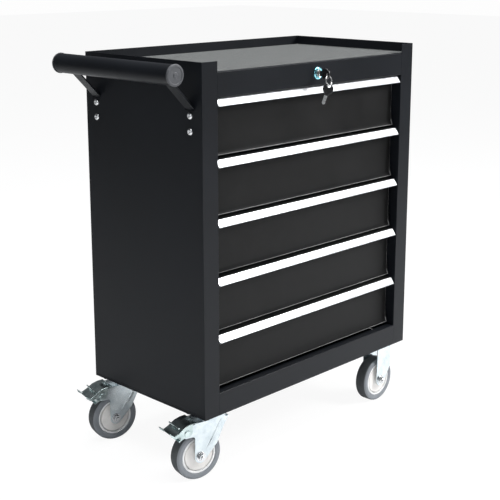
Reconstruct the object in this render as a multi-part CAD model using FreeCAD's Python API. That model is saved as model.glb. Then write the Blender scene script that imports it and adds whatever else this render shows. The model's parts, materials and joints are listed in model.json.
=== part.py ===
import FreeCAD, Part
import math
import os

from FreeCAD import Vector

os.makedirs("parts", exist_ok=True)

# Five-drawer tool cart: a folded sheet-steel cabinet on four casters.
# All sizes are millimetres. The model is drawn with its origin at the middle of the
# cabinet's underside (+X right, +Y back, +Z up) and moved into its own frame on writing.

# Cabinet
cabinetWidth = 616.0
cabinetDepth = 330.0
cabinetHeight = 668.0
panelSheet = 1.2
postWidth = 38.0
postReturn = 50.0
traySheet = 1.2
rimHeight = 20.0
railDepth = 14.0
headerBottom = 603.0
baseSheet = 1.5
baseRailHeight = 45.0
sideSeam = 5.0
seamGap = 0.4
lipGap = 0.5
matThickness = 2.5
matGap = 0.8
railReturn = 17.0
headerReturn = 20.0
uprightFront = 100.0
uprightBack = 150.0
uprightFoot = 12.0
cutOver = 1.0

# Drawers
drawerCount = 5
drawerPitch = 111.2
drawerHeight = 106.0
firstDrawerBottom = 495.0
faceRecess = 21.0
drawerSheet = 0.9
frontGap = 3.0
boxLift = 6.0
boxDrop = 22.0
boxBack = 140.0
lipFlare = 4.0
lipHeight = 10.0
lipReturn = 2.0
frontEdgeReturn = 12.0
hemWidth = 4.0
catchRise = 50.0
catchReach = 9.0
catchLip = 10.0
catchSheet = 1.2
catchHalfWidth = 10.0

# Drawer pulls
pullHeight = 15.0
pullSheet = 1.6
pullLean = 8.0
pullCover = 10.0
pullBead = 1.3
beadInset = 0.8
beadRise = 0.4

# Ball-bearing slides
slideLength = 280.0
slideSetback = 2.0
slideDepth = 12.7
slideSheet = 1.2
outerHalfHeight = 17.5
innerHalfHeight = 11.9
innerFlangeReach = 8.2
slideRise = 41.0
outerFlangeGap = 1.0
outerTabReach = 3.6
outerTabHalfHeight = 8.0
innerTabReach = 1.4
innerTabHalfHeight = 6.0
ballRadius = 2.1
ballOffset = 4.6
cageOffset = 2.8
cageReach = 7.6
ballsPerRow = 5
cageSheet = 0.8
drawerTravel = 200.0
cageClearance = 4.0

# Handle
handleOutreach = 60.0
handleHeight = 650.0
tubeRadius = 18.5
tubeWall = 1.5
tubeLength = 322.0
plugRadius = 19.5
plugFlange = 3.0
plugFillet = 1.2
plugShank = 18.0
plugBossInset = 4.0
plugBossRise = 1.0
plugGap = 0.1
bracketWidth = 24.0
bracketSheet = 3.0
bracketPlaces = (-134.0, 133.0)
bracketFoot = 528.0
bracketBend = 582.0
bracketSlot = 5.8
bendGap = 0.1
bracketFit = 0.02
handleBoltHeights = (572.0, 543.5)
handleBoltRadius = 3.0
handleBoltHead = 6.5
handleBoltHeadRise = 4.0
handleBoltFillet = 1.6
handleBoltLength = 14.0
boltHoleGap = 0.3
slotGap = 0.4
smallNutFlats = 10.0
smallNutDepth = 5.0

# Lock
lockHeight = 627.0
bezelRadius = 12.5
bezelDepth = 4.0
bezelFillet = 1.5
barrelRadius = 9.4
barrelGap = 0.2
barrelLength = 25.0
lockNutFlats = 24.0
lockNutDepth = 4.0
lockPlugRadius = 7.0
plugBehind = 2.0
runningGap = 0.05
keyThickness = 2.0
keyBladeHeight = 7.0
keyBladeLength = 24.0
keyStandOff = 1.0
keyOverlap = 3.0
keySlotGap = 0.1
neckHalfHeight = 5.0
neckLength = 2.0
bowRadius = 10.0
bowThickness = 5.0
bowHoleRadius = 3.4
ringForward = 4.0
ringDrop = 4.0
ringHang = 2.1
ringRadius = 8.2
ringWire = 0.8
rodRadius = 3.0
crankRadius = 6.0
crankAngle = 45.0
crankHubRadius = 5.0
crankEndRadius = 4.0
crankSheet = 2.5
crankGap = 2.0
crankPinRadius = 2.0
crankPinLength = 8.0
lockBarFront = 152.0
lockBarSheet = 2.0
lockBarHalfWidth = 14.0
lockBarFoot = 60.0
lockBarOver = 16.0
lockBarPlay = 0.4
crankSlotHalf = 4.5
hookSheet = 1.6
hookHalfWidth = 6.0
hookDrop = 9.0
hookStart = 3.0
hookRise = 12.0
guideClipHeights = (40.0, 600.0)
guideClipHalfWidth = 18.0
guideClipHalfHeight = 6.0
guideClipSheet = 1.1
hangerFront = 132.0
hangerSheet = 2.0
hangerHalfWidth = 9.0

# Casters
casterHeight = 134.0
casterSpreadX = 254.0
fixedCasterX = 252.0
casterSpreadY = 127.0
plateLength = 95.0
plateWidth = 64.0
plateThickness = 3.0
plateCorner = 6.0
boltSpacingX = 78.0
boltSpacingY = 45.0
casterBoltRadius = 3.0
casterBoltHole = 3.3
casterBoltHeadRise = 4.0
casterBoltLength = 14.0
wheelRadius = 49.5
rimRadius = 36.5
rimHalfWidth = 12.2
treadHalfWidth = 10.2
wheelTrail = 38.0
axleRadius = 4.0
sleeveRadius = 6.0
axleHoleGap = 0.1
axleShort = 7.0
axleLong = 9.0
washerRadius = 10.0
washerDepth = 1.5
axleNutFlats = 13.0
axleNutDepth = 5.5
forkInner = 18.0
forkSheet = 2.5
crownTop = 120.0
crownFront = -25.0
legRadius = 12.5
cheekCorner = 6.0
boreOver = 1.0
swivelGap = 0.2
bossRadius = 19.0
dishLow = 24.0
dishHigh = 30.0
dishDepth = 3.0
kingPinRadius = 6.0
kingPinDrop = 4.0
rivetRadius = 9.5
rivetRise = 3.8
rivetFillet = 1.5
cupRadius = 27.0
cupInner = 24.3
cupFlare = 31.0
cupHeight = 8.0
cupFlareDepth = 4.0
cupFlareLow = 3.4
fixedLegFront = -13.0
fixedLegBack = 33.0
fixedLegTaper = 75.0
pedalPivot = (68.0, 104.5)
pedalHalfWidth = 22.5
pedalSheet = 1.5
pedalTravel = 15.0
pedalPinRadius = 4.0
pedalPinOver = 0.5
pedalPinHead = 6.5
pedalPinHeadRise = 2.0
armRadius = 10.5
armOverlap = 4.0
shoeHalfWidth = 12.0
shoeGap = 0.35
shoeDepth = 3.0
shoeAngles = (42.0, 58.0)
shoeReach = 70.0
shoeHubRadius = 6.5
# Side views of the pedal, as distance from the swivel axis and height from the floor
pedalPath = [(105, 112.5), (95, 105.5), (86, 109.5), (72, 118.5), (60, 122), (48, 123)]
pedalFlange = [(56, 121), (60, 120.6), (72, 117.2), (86, 108.3), (95, 104.3), (104, 110.6),
               (104, 107), (95, 100), (84, 102), (77, 97), (62, 97), (56, 106)]
shoeWeb = [(63, 104.5), (73, 104.5), (74.5, 85.5), (67, 92)]
# The front edge of a swivel fork's cheeks, from the crown down
forkEdge = [(crownFront, crownTop), (-14.0, 102.0), (2.0, 69.0)]
# Half profiles of the wheel, as radius and distance from its middle plane
wheelProfile = [(10, 17.7), (10.8, 13.4), (30.4, 11.8), (31, 9.2), (32.4, 9.2), (33, 13.0),
                (35.8, 13.0), (rimRadius, rimHalfWidth)]
tyreProfile = [(rimRadius, rimHalfWidth), (38.2, 13.8), (44.3, 14.5), (wheelRadius, treadHalfWidth)]
hubHalfWidth = 17.7
shoulderMiddle = (47.3, 13.1)
frontCasterYaw = 12.0
rearCasterYaw = 14.0

# Derived places
halfWidth = cabinetWidth / 2
halfDepth = cabinetDepth / 2
openHalf = halfWidth - postWidth
faceY = -halfDepth + faceRecess
frontHalf = openHalf - frontGap
boxHalf = openHalf - slideDepth
trayTop = cabinetHeight - rimHeight - traySheet
slideFront = faceY + frontEdgeReturn + slideSetback
slideBack = slideFront + slideLength
cageLength = slideLength - drawerTravel - cageClearance
wheelAxleHeight = wheelRadius
keyFront = -halfDepth - bezelDepth - keyStandOff - neckLength - 2 * bowRadius
bowCentreY = keyFront + bowRadius
ringY = bowCentreY - ringForward
ringTop = lockHeight - ringDrop
frameShift = Vector(
    (handleOutreach + plugRadius) / 2,
    (-keyFront - halfDepth) / 2,
    casterHeight,
)


def box(xLow, xHigh, yLow, yHigh, zLow, zHigh):
    return Part.makeBox(
        xHigh - xLow, yHigh - yLow, zHigh - zLow, Vector(xLow, yLow, zLow)
    )


def rod(centre, direction, radius, length):
    return Part.makeCylinder(radius, length, Vector(*centre), Vector(*direction))


def hexagon(centre, direction, acrossFlats, length):
    """A hexagonal prism that starts at the centre and runs along the direction."""
    corner = acrossFlats / math.sqrt(3)
    corners = [
        Vector(corner * math.cos(math.radians(60 * k)), corner * math.sin(math.radians(60 * k)), 0)
        for k in range(7)
    ]
    prism = Part.Face(Part.makePolygon(corners)).extrude(Vector(0, 0, length))
    prism.Placement = FreeCAD.Placement(
        Vector(*centre), FreeCAD.Rotation(Vector(0, 0, 1), Vector(*direction))
    )
    return prism


def joined(*shapes):
    return shapes[0].multiFuse(list(shapes[1:])).removeSplitter()


def grouped(shapes):
    return Part.makeCompound(shapes)


def onPlane(axis, first, second, along):
    """A point from two coordinates across an axis and one along it."""
    if axis == "x":
        return Vector(along, first, second)
    if axis == "y":
        return Vector(first, along, second)
    return Vector(first, second, along)


def prism(outline, axis, start, end):
    """A closed outline pushed along X, Y or Z."""
    points = [onPlane(axis, a, b, start) for a, b in outline]
    face = Part.Face(Part.makePolygon(points + points[:1]))
    return face.extrude(onPlane(axis, 0, 0, end - start))


def foldedOutline(path, thickness):
    """The outline of a sheet folded along a path, with its thickness on the path's left."""
    offset = []
    for index, (a, b) in enumerate(path):
        before = path[max(index - 1, 0)]
        after = path[min(index + 1, len(path) - 1)]
        normals = []
        for start, end in ((before, (a, b)), ((a, b), after)):
            run = math.hypot(end[0] - start[0], end[1] - start[1])
            if run > 0:
                normals.append((-(end[1] - start[1]) / run, (end[0] - start[0]) / run))
        sumA = sum(n[0] for n in normals)
        sumB = sum(n[1] for n in normals)
        reach = thickness * len(normals) / (sumA * sumA + sumB * sumB)
        offset.append((a + sumA * reach, b + sumB * reach))
    return list(path) + offset[::-1]


def folded(path, thickness, axis, start, end):
    return prism(foldedOutline(path, thickness), axis, start, end)


def mirrored(shape):
    return shape.mirror(Vector(0, 0, 0), Vector(1, 0, 0))


def write(shape, node):
    placed = shape.copy()
    placed.translate(frameShift)
    placed.exportStep(f"parts/{node}.step")


# Cabinet pieces


def sidePanel():
    """The left side: a full-height skin whose front edge is folded into a post."""
    path = [
        (-halfWidth, halfDepth - panelSheet),
        (-halfWidth, -halfDepth),
        (-openHalf, -halfDepth),
        (-openHalf, -halfDepth + postReturn),
    ]
    skin = folded(path, panelSheet, "z", 0, cabinetHeight)
    behindFace = -halfDepth + panelSheet
    outside = -halfWidth - cutOver
    returnBack = -openHalf + cutOver
    lowerEdge = box(
        outside, -halfWidth + panelSheet, behindFace, halfDepth, -cutOver, sideSeam
    )
    returnTop = box(
        -openHalf - panelSheet, returnBack, behindFace, halfDepth,
        trayTop - traySheet, cabinetHeight + cutOver,
    )
    returnFoot = box(
        -openHalf - panelSheet, returnBack, behindFace, halfDepth, -cutOver, baseSheet
    )
    return skin.cut(lowerEdge).cut(returnTop).cut(returnFoot)


def handleBoltHole(y, z):
    radius = handleBoltRadius + boltHoleGap
    return rod((-halfWidth - cutOver, y, z), (1, 0, 0), radius, panelSheet + 2 * cutOver)


def leftSidePanel():
    """The handle side, with a slot for each bracket and two bolt holes under it."""
    panel = sidePanel()
    halfSlot = bracketWidth / 2 + slotGap
    for y in bracketPlaces:
        slot = box(
            -halfWidth - cutOver, -halfWidth + panelSheet + cutOver, y - halfSlot, y + halfSlot,
            bracketBend - bendGap, bracketBend + bracketSlot,
        )
        panel = panel.cut(slot)
        for z in handleBoltHeights:
            panel = panel.cut(handleBoltHole(y, z))
    return panel


def guideClip(z):
    """A strap on the back panel that the lock bar slides through."""
    wall = halfDepth - panelSheet
    inside = lockBarFront - lockBarPlay
    halfStrap = guideClipHalfWidth
    halfHeight = guideClipHalfHeight
    strap = box(-halfStrap, halfStrap, inside - guideClipSheet, wall, z - halfHeight, z + halfHeight)
    halfChannel = lockBarHalfWidth + lockBarPlay
    channelHeight = halfHeight + cutOver
    channel = box(-halfChannel, halfChannel, inside, wall, z - channelHeight, z + channelHeight)
    return strap.cut(channel)


def backPanel():
    skin = box(-halfWidth, halfWidth, halfDepth - panelSheet, halfDepth, 0, cabinetHeight)
    return joined(skin, *[guideClip(z) for z in guideClipHeights])


def casterBoltPlaces():
    places = []
    for centreX in (-casterSpreadX, fixedCasterX):
        for centreY in (-casterSpreadY, casterSpreadY):
            for sideX in (-0.5, 0.5):
                for sideY in (-0.5, 0.5):
                    places.append((centreX + sideX * boltSpacingX, centreY + sideY * boltSpacingY))
    return places


def basePan():
    """The bottom sheet, its hems under the side panels and its front rail."""
    inner = halfWidth - panelSheet
    back = halfDepth - panelSheet
    sheet = box(-inner, inner, -back, back, 0, baseSheet)
    rail = folded(
        [(-halfDepth, 0), (-halfDepth, baseRailHeight), (-halfDepth + railReturn, baseRailHeight)],
        -panelSheet, "x", -openHalf, openHalf,
    )
    hemTop = sideSeam - seamGap
    leftHem = box(-halfWidth, -inner, -back, back, 0, hemTop)
    rightHem = box(inner, halfWidth, -back, back, 0, hemTop)
    pan = joined(sheet, rail, leftHem, rightHem)
    for x, y in casterBoltPlaces():
        pan = pan.cut(rod((x, y, -cutOver), (0, 0, 1), casterBoltHole, baseSheet + 2 * cutOver))
    return pan


def topRail():
    """The header above the drawers, with a wide lip on top and a narrow one below."""
    top = cabinetHeight - rimHeight
    back = -halfDepth + panelSheet
    header = folded(
        [(-halfDepth + headerReturn, headerBottom), (-halfDepth, headerBottom), (-halfDepth, top)],
        -panelSheet, "x", -openHalf, openHalf,
    )
    lipHalf = halfWidth - panelSheet - lipGap
    lip = box(-lipHalf, lipHalf, back, -halfDepth + railDepth, top - panelSheet, top)
    start = (0, -halfDepth - cutOver, lockHeight)
    hole = rod(start, (0, 1, 0), barrelRadius + barrelGap, panelSheet + 2 * cutOver)
    return joined(header, lip).cut(hole)


def topTray():
    """The flat top sheet, with a hanger that carries the back end of the lock rod."""
    inner = halfWidth - panelSheet
    back = halfDepth - panelSheet
    low = trayTop - traySheet
    sheet = box(-inner, inner, -back, back, low, trayTop)
    half = hangerHalfWidth
    hanger = box(-half, half, hangerFront, hangerFront + hangerSheet, lockHeight - half, low)
    bearing = rod(
        (0, hangerFront - cutOver, lockHeight), (0, 1, 0), rodRadius + runningGap,
        hangerSheet + 2 * cutOver,
    )
    return joined(sheet, hanger.cut(bearing))


def topMat():
    edge = halfWidth - panelSheet - matGap
    front = -halfDepth + railDepth + lipGap
    back = halfDepth - panelSheet - matGap
    return box(-edge, edge, front, back, trayTop, trayTop + matThickness)


def rearUprights():
    """Two channels on the side panels that carry the back ends of the slides."""
    wall = -halfWidth + panelSheet
    path = [
        (wall, uprightFront),
        (-openHalf, uprightFront),
        (-openHalf, uprightBack),
        (wall, uprightBack),
    ]
    left = folded(path, panelSheet, "z", uprightFoot, trayTop - traySheet)
    return grouped([left, mirrored(left)])


# Slides pieces


def slideHeight(index):
    return drawerBottom(index) + slideRise


def outerMember(z):
    """The fixed left member: a channel with a front stop tab."""
    wall = -openHalf
    reach = slideDepth - outerFlangeGap
    path = [
        (wall + reach, z - outerHalfHeight),
        (wall, z - outerHalfHeight),
        (wall, z + outerHalfHeight),
        (wall + reach, z + outerHalfHeight),
    ]
    channel = folded(path, -slideSheet, "y", slideFront, slideBack)
    tab = box(
        wall + slideSheet, wall + outerTabReach, slideFront, slideFront + slideSheet,
        z - outerTabHalfHeight, z + outerTabHalfHeight,
    )
    return joined(channel, tab)


def innerMember(z):
    """The moving left member on the drawer's side, with a rear stop tab."""
    wall = -boxHalf
    path = [
        (wall - innerFlangeReach, z - innerHalfHeight),
        (wall, z - innerHalfHeight),
        (wall, z + innerHalfHeight),
        (wall - innerFlangeReach, z + innerHalfHeight),
    ]
    channel = folded(path, slideSheet, "y", slideFront, slideBack)
    tab = box(
        wall - innerFlangeReach - innerTabReach, wall - slideSheet,
        slideBack - slideSheet, slideBack, z - innerTabHalfHeight, z + innerTabHalfHeight,
    )
    return joined(channel, tab)


def ballCage(z):
    """The left cage: a channel strip that holds a row of balls above and one below."""
    row = (innerHalfHeight + outerHalfHeight - slideSheet) / 2
    wall = -openHalf + cageOffset
    edge = wall + cageReach
    middle = (slideFront + slideBack) / 2
    start = middle - cageLength / 2
    top = row + cageSheet / 2
    path = [(edge, z - top), (wall, z - top), (wall, z + top), (edge, z + top)]
    pieces = [folded(path, -cageSheet, "y", start, start + cageLength)]
    pitch = cageLength / ballsPerRow
    for index in range(ballsPerRow):
        y = start + (index + 0.5) * pitch
        for side in (-1, 1):
            place = Vector(wall + ballOffset, y, z + side * row)
            pieces.append(Part.makeSphere(ballRadius, place))
    return joined(*pieces)


def pairOf(left):
    return grouped([left, mirrored(left)])


def slideOuterMembers():
    members = []
    for index in range(drawerCount):
        left = outerMember(slideHeight(index))
        members += [left, mirrored(left)]
    return grouped(members)


# Drawers pieces


def drawerBottom(index):
    return firstDrawerBottom - index * drawerPitch


def drawerFront(bottom):
    """The pressed front: a flat face with a flared lower lip and edges turned back."""
    top = bottom + drawerHeight - pullSheet
    path = [
        (faceY + lipReturn, bottom),
        (faceY - lipFlare, bottom),
        (faceY, bottom + lipHeight),
        (faceY, top),
        (faceY + pullCover, top),
    ]
    face = folded(path, -drawerSheet, "x", -frontHalf, frontHalf)
    inner = faceY + drawerSheet
    back = faceY + frontEdgeReturn
    edgeLow = bottom + lipHeight
    left = box(-frontHalf, -frontHalf + drawerSheet, inner, back, edgeLow, top - drawerSheet)
    return joined(face, left, mirrored(left))


def drawerCatch(bottom):
    """The tongue behind the drawer that the lock bar's hook drops into."""
    low = bottom + catchRise
    tip = boxBack + catchReach
    path = [(boxBack, low), (tip, low), (tip, low + catchLip)]
    return folded(path, catchSheet, "x", -catchHalfWidth, catchHalfWidth)


def drawerBox(index):
    bottom = drawerBottom(index)
    floorLow = bottom + boxLift
    wallTop = bottom + drawerHeight - boxDrop
    front = faceY + drawerSheet
    floor = box(-boxHalf, boxHalf, front, boxBack, floorLow, floorLow + drawerSheet)
    leftWall = folded(
        [(-boxHalf, floorLow), (-boxHalf, wallTop), (-boxHalf + hemWidth, wallTop)],
        -drawerSheet, "y", front, boxBack,
    )
    backWall = box(-boxHalf, boxHalf, boxBack - drawerSheet, boxBack, floorLow, wallTop)
    return joined(
        drawerFront(bottom), floor, leftWall, mirrored(leftWall), backWall, drawerCatch(bottom)
    )


def drawerPull(index):
    """A full-width channel pull: a flat top, a leg on the face and a sloping outer lip."""
    top = drawerBottom(index) + drawerHeight
    rimY = -halfDepth + pullLean
    lip = folded(
        [(faceY + pullCover, top), (rimY, top), (-halfDepth, top - pullHeight)],
        pullSheet, "x", -frontHalf, frontHalf,
    )
    leg = box(
        -frontHalf, frontHalf, faceY - pullSheet, faceY, top - pullHeight, top - pullSheet
    )
    beadStart = (-frontHalf, -halfDepth + beadInset, top - pullHeight + beadRise)
    bead = rod(beadStart, (1, 0, 0), pullBead, 2 * frontHalf)
    return joined(lip, leg, bead)


# Handle pieces


def handleTube():
    start = (-halfWidth - handleOutreach, -tubeLength / 2, handleHeight)
    return rod(start, (0, 1, 0), tubeRadius, tubeLength).cut(
        rod(start, (0, 1, 0), tubeRadius - tubeWall, tubeLength)
    )


def handleEndPlug(side):
    """A plug pushed into one end of the tube, with a flange and a low domed face."""
    x = -halfWidth - handleOutreach
    end = side * tubeLength / 2
    bore = tubeRadius - tubeWall - plugGap
    shank = rod((x, end, handleHeight), (0, -side, 0), bore, plugShank)
    flange = rod((x, end, handleHeight), (0, side, 0), plugRadius, plugFlange)
    flange = flange.makeFillet(plugFillet, [flange.Edges[0]])
    face = (x, end + side * plugFlange, handleHeight)
    boss = rod(face, (0, side, 0), plugRadius - plugBossInset, plugBossRise)
    return joined(shank, flange, boss)


def handleBracket(y):
    """A flat bar bolted inside the panel, bent out through a slot at 45 degrees to the tube."""
    inside = -halfWidth + panelSheet
    path = [
        (inside, bracketFoot),
        (inside, bracketBend),
        (-halfWidth - handleOutreach, bracketBend + handleOutreach + panelSheet),
    ]
    bar = folded(path, -bracketSheet, "y", y - bracketWidth / 2, y + bracketWidth / 2)
    clearance = rod(
        (-halfWidth - handleOutreach, y - bracketWidth, handleHeight), (0, 1, 0),
        tubeRadius + bracketFit, 2 * bracketWidth,
    )
    bar = bar.cut(clearance)
    bar = max(bar.Solids, key=lambda solid: solid.Volume)
    for z in handleBoltHeights:
        start = (inside - cutOver, y, z)
        hole = rod(start, (1, 0, 0), handleBoltRadius + boltHoleGap, bracketSheet + 2 * cutOver)
        bar = bar.cut(hole)
    return bar


def handleBolt(y, z):
    """A pan-head bolt through panel and bracket, with its nut inside the cabinet."""
    seat = -halfWidth
    inside = -halfWidth + panelSheet + bracketSheet
    head = rod((seat, y, z), (-1, 0, 0), handleBoltHead, handleBoltHeadRise)
    head = head.makeFillet(handleBoltFillet, [head.Edges[0]])
    shank = rod((seat, y, z), (1, 0, 0), handleBoltRadius, handleBoltLength)
    nut = hexagon((inside, y, z), (1, 0, 0), smallNutFlats, smallNutDepth)
    nut = nut.cut(rod((inside, y, z), (1, 0, 0), handleBoltRadius, smallNutDepth))
    return [joined(head, shank), nut]


def handleBolts():
    pieces = []
    for y in bracketPlaces:
        for z in handleBoltHeights:
            pieces += handleBolt(y, z)
    return grouped(pieces)


# Lock pieces


def lockBody():
    """The bezel and threaded barrel that the plug turns in."""
    front = -halfDepth - bezelDepth
    bezel = rod((0, front, lockHeight), (0, 1, 0), bezelRadius, bezelDepth)
    bezel = bezel.makeFillet(bezelFillet, [bezel.Edges[2]])
    barrel = rod((0, -halfDepth, lockHeight), (0, 1, 0), barrelRadius, barrelLength)
    bore = rod(
        (0, front - cutOver, lockHeight), (0, 1, 0), lockPlugRadius + runningGap,
        bezelDepth + barrelLength + 2 * cutOver,
    )
    return joined(bezel, barrel).cut(bore)


def lockNut():
    start = (0, -halfDepth + panelSheet, lockHeight)
    nut = hexagon(start, (0, 1, 0), lockNutFlats, lockNutDepth)
    return nut.cut(rod(start, (0, 1, 0), barrelRadius, lockNutDepth))


def lockPlug():
    """The turning plug, slotted for the key blade."""
    front = -halfDepth - bezelDepth
    length = bezelDepth + barrelLength + plugBehind
    plug = rod((0, front, lockHeight), (0, 1, 0), lockPlugRadius, length)
    halfSlot = keyThickness / 2 + keySlotGap
    halfHeight = keyBladeHeight / 2 + keySlotGap
    slot = box(
        -halfSlot, halfSlot, front - cutOver, front + keyBladeLength + 1,
        lockHeight - halfHeight, lockHeight + halfHeight,
    )
    return plug.cut(slot)


def crankPinPlace():
    reach = crankRadius * math.cos(math.radians(crankAngle))
    return reach, lockHeight + reach


def lockRod():
    """The rod that carries the plug's turn to the back, ending in a small crank."""
    start = -halfDepth + barrelLength + plugBehind
    crankFront = lockBarFront - crankGap - crankSheet
    pinX, pinZ = crankPinPlace()
    shaft = rod((0, start, lockHeight), (0, 1, 0), rodRadius, crankFront + crankSheet - start)
    arm = rod((pinX, crankFront, pinZ), (0, 1, 0), crankEndRadius, crankSheet)
    hub = rod((0, crankFront, lockHeight), (0, 1, 0), crankHubRadius, crankSheet)
    pin = rod((pinX, crankFront, pinZ), (0, 1, 0), crankPinRadius, crankPinLength)
    return joined(shaft, hub, arm, pin)


def lockBar():
    """The upright bar at the back, with one hook for each drawer and a slot for the crank."""
    pinX, pinZ = crankPinPlace()
    back = lockBarFront + lockBarSheet
    half = lockBarHalfWidth
    bar = box(-half, half, lockBarFront, back, lockBarFoot, lockHeight + lockBarOver)
    halfSlot = crankPinRadius + lockBarPlay
    slot = box(
        pinX - crankSlotHalf, pinX + crankSlotHalf, lockBarFront - cutOver, back + cutOver,
        pinZ - halfSlot, pinZ + halfSlot,
    )
    pieces = [bar.cut(slot)]
    for index in range(drawerCount):
        tip = drawerBottom(index) + catchRise + hookRise
        top = tip + hookDrop
        path = [(lockBarFront, top), (boxBack + hookStart, top), (boxBack + hookStart, tip)]
        pieces.append(folded(path, hookSheet, "x", -hookHalfWidth, hookHalfWidth))
    return joined(*pieces)


def key():
    """A flat key in the lock: moulded bow with a hole for the ring, and a cut blade."""
    bladeStart = -halfDepth - bezelDepth - keyStandOff - keyOverlap
    blade = box(
        -keyThickness / 2, keyThickness / 2, bladeStart, bladeStart + keyOverlap + keyBladeLength,
        lockHeight - keyBladeHeight / 2, lockHeight + keyBladeHeight / 2,
    )
    bow = rod((-bowThickness / 2, bowCentreY, lockHeight), (1, 0, 0), bowRadius, bowThickness)
    neck = box(
        -bowThickness / 2, bowThickness / 2, bowCentreY, -halfDepth - bezelDepth - keyStandOff,
        lockHeight - neckHalfHeight, lockHeight + neckHalfHeight,
    )
    hole = rod((-bowThickness, ringY, ringTop + ringHang), (1, 0, 0), bowHoleRadius, 2 * bowThickness)
    return joined(blade, bow, neck).cut(hole)


def keyRing():
    ring = Part.makeTorus(ringRadius, ringWire)
    ring.Placement = FreeCAD.Placement(
        Vector(0, ringY, ringTop - ringRadius), FreeCAD.Rotation(Vector(1, 0, 0), 90)
    )
    return ring


# Casters pieces
# Each caster is drawn with its swivel axis on Z and its wheel trailing along +X,
# with heights counted from the floor, and is then turned and put under the cabinet.


def underCabinet(shape, x, y, turn):
    placed = shape.copy()
    placed.rotate(Vector(0, 0, 0), Vector(0, 0, 1), turn)
    placed.translate(Vector(x, y, -casterHeight))
    return placed


def tangentPoint(fromX, fromZ, centreX, centreZ, radius):
    """Where a straight edge from a point meets a round end, on its lower left."""
    gapX = centreX - fromX
    gapZ = centreZ - fromZ
    reach = math.hypot(gapX, gapZ)
    turn = math.atan2(gapZ, gapX) - math.asin(radius / reach)
    run = math.sqrt(reach * reach - radius * radius)
    return fromX + run * math.cos(turn), fromZ + run * math.sin(turn)


def mountingPlate():
    plate = box(
        -plateLength / 2, plateLength / 2, -plateWidth / 2, plateWidth / 2,
        casterHeight - plateThickness, casterHeight,
    )
    upright = [edge for edge in plate.Edges if abs(edge.tangentAt(edge.FirstParameter).z) > 0.9]
    plate = plate.makeFillet(plateCorner, upright)
    for sideX in (-0.5, 0.5):
        for sideY in (-0.5, 0.5):
            x = sideX * boltSpacingX
            y = sideY * boltSpacingY
            low = casterHeight - plateThickness - cutOver
            hole = rod((x, y, low), (0, 0, 1), casterBoltHole, plateThickness + 2 * cutOver)
            plate = plate.cut(hole)
    return plate


def swivelPlate():
    """The mounting plate with its bearing boss and the king pin riveted under the fork."""
    low = casterHeight - plateThickness
    bossLow = crownTop + swivelGap
    pinLow = crownTop - forkSheet - kingPinDrop
    boss = rod((0, 0, bossLow), (0, 0, 1), bossRadius, low - bossLow)
    dish = Part.makeCone(dishLow, dishHigh, dishDepth, Vector(0, 0, low - dishDepth))
    pin = rod((0, 0, pinLow), (0, 0, 1), kingPinRadius, bossLow - pinLow)
    rivet = rod((0, 0, pinLow), (0, 0, 1), rivetRadius, rivetRise)
    rivet = rivet.makeFillet(rivetFillet, [rivet.Edges[2]])
    return joined(mountingPlate(), boss, dish, pin, rivet)


def forkCheek(start):
    """One cheek plate: the leg down to the axle and the arm that carries the pedal."""
    pivotU, pivotZ = pedalPivot
    end = start + forkSheet
    legBack = wheelTrail + legRadius
    cornerBack = legBack + cheekCorner
    armLow = pivotZ - armRadius
    low = armLow - cheekCorner
    edgeU, edgeZ = forkEdge[-1]
    foot = tangentPoint(edgeU, edgeZ, wheelTrail, wheelAxleHeight, legRadius)
    leg = prism(
        forkEdge + [foot, (wheelTrail, wheelAxleHeight), (legBack, wheelAxleHeight),
                    (legBack, crownTop)],
        "y", start, end,
    )
    legEnd = rod((wheelTrail, start, wheelAxleHeight), (0, 1, 0), legRadius, forkSheet)
    armStart = legBack - armOverlap
    arm = prism(
        [(armStart, armLow), (pivotU, armLow), (pivotU, pivotZ + armRadius), (armStart, crownTop)],
        "y", start, end,
    )
    armEnd = rod((pivotU, start, pivotZ), (0, 1, 0), armRadius, forkSheet)
    corner = box(legBack, cornerBack, start, end, low, armLow)
    corner = corner.cut(rod((cornerBack, start, low), (0, 1, 0), cheekCorner, forkSheet))
    return [leg, legEnd, arm, armEnd, corner]


def forkCrown():
    """The top of the fork between its cheeks, with its folded front and the race cup."""
    crownBack = wheelTrail + legRadius - cheekCorner
    top = box(crownFront, crownBack, -forkInner, forkInner, crownTop - forkSheet, crownTop)
    skirt = prism(foldedOutline(forkEdge[:2], forkSheet), "y", -forkInner, forkInner)
    cup = rod((0, 0, crownTop), (0, 0, 1), cupRadius, cupHeight)
    cup = cup.cut(rod((0, 0, crownTop), (0, 0, 1), cupInner, cupHeight))
    flareLow = Vector(0, 0, casterHeight - plateThickness - cupFlareLow)
    cup = cup.cut(Part.makeCone(cupInner, cupFlare, cupFlareDepth, flareLow))
    return [top, skirt, cup]


def swivelFork():
    """The turning fork: two cheek plates with arms for the pedal, a crown and a race cup."""
    pivotU, pivotZ = pedalPivot
    cheeks = forkCheek(-forkInner - forkSheet) + forkCheek(forkInner)
    fork = joined(*cheeks, *forkCrown())
    pinLow = (0, 0, crownTop - 2 * forkSheet)
    fork = fork.cut(rod(pinLow, (0, 0, 1), kingPinRadius + runningGap, 2 * forkSheet + cutOver))
    side = forkInner + forkSheet + boreOver
    axleStart = (wheelTrail, -side, wheelAxleHeight)
    axleHole = rod(axleStart, (0, 1, 0), axleRadius + axleHoleGap, 2 * side)
    pivotHole = rod((pivotU, -side, pivotZ), (0, 1, 0), pedalPinRadius + runningGap, 2 * side)
    return fork.cut(axleHole).cut(pivotHole)


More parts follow.
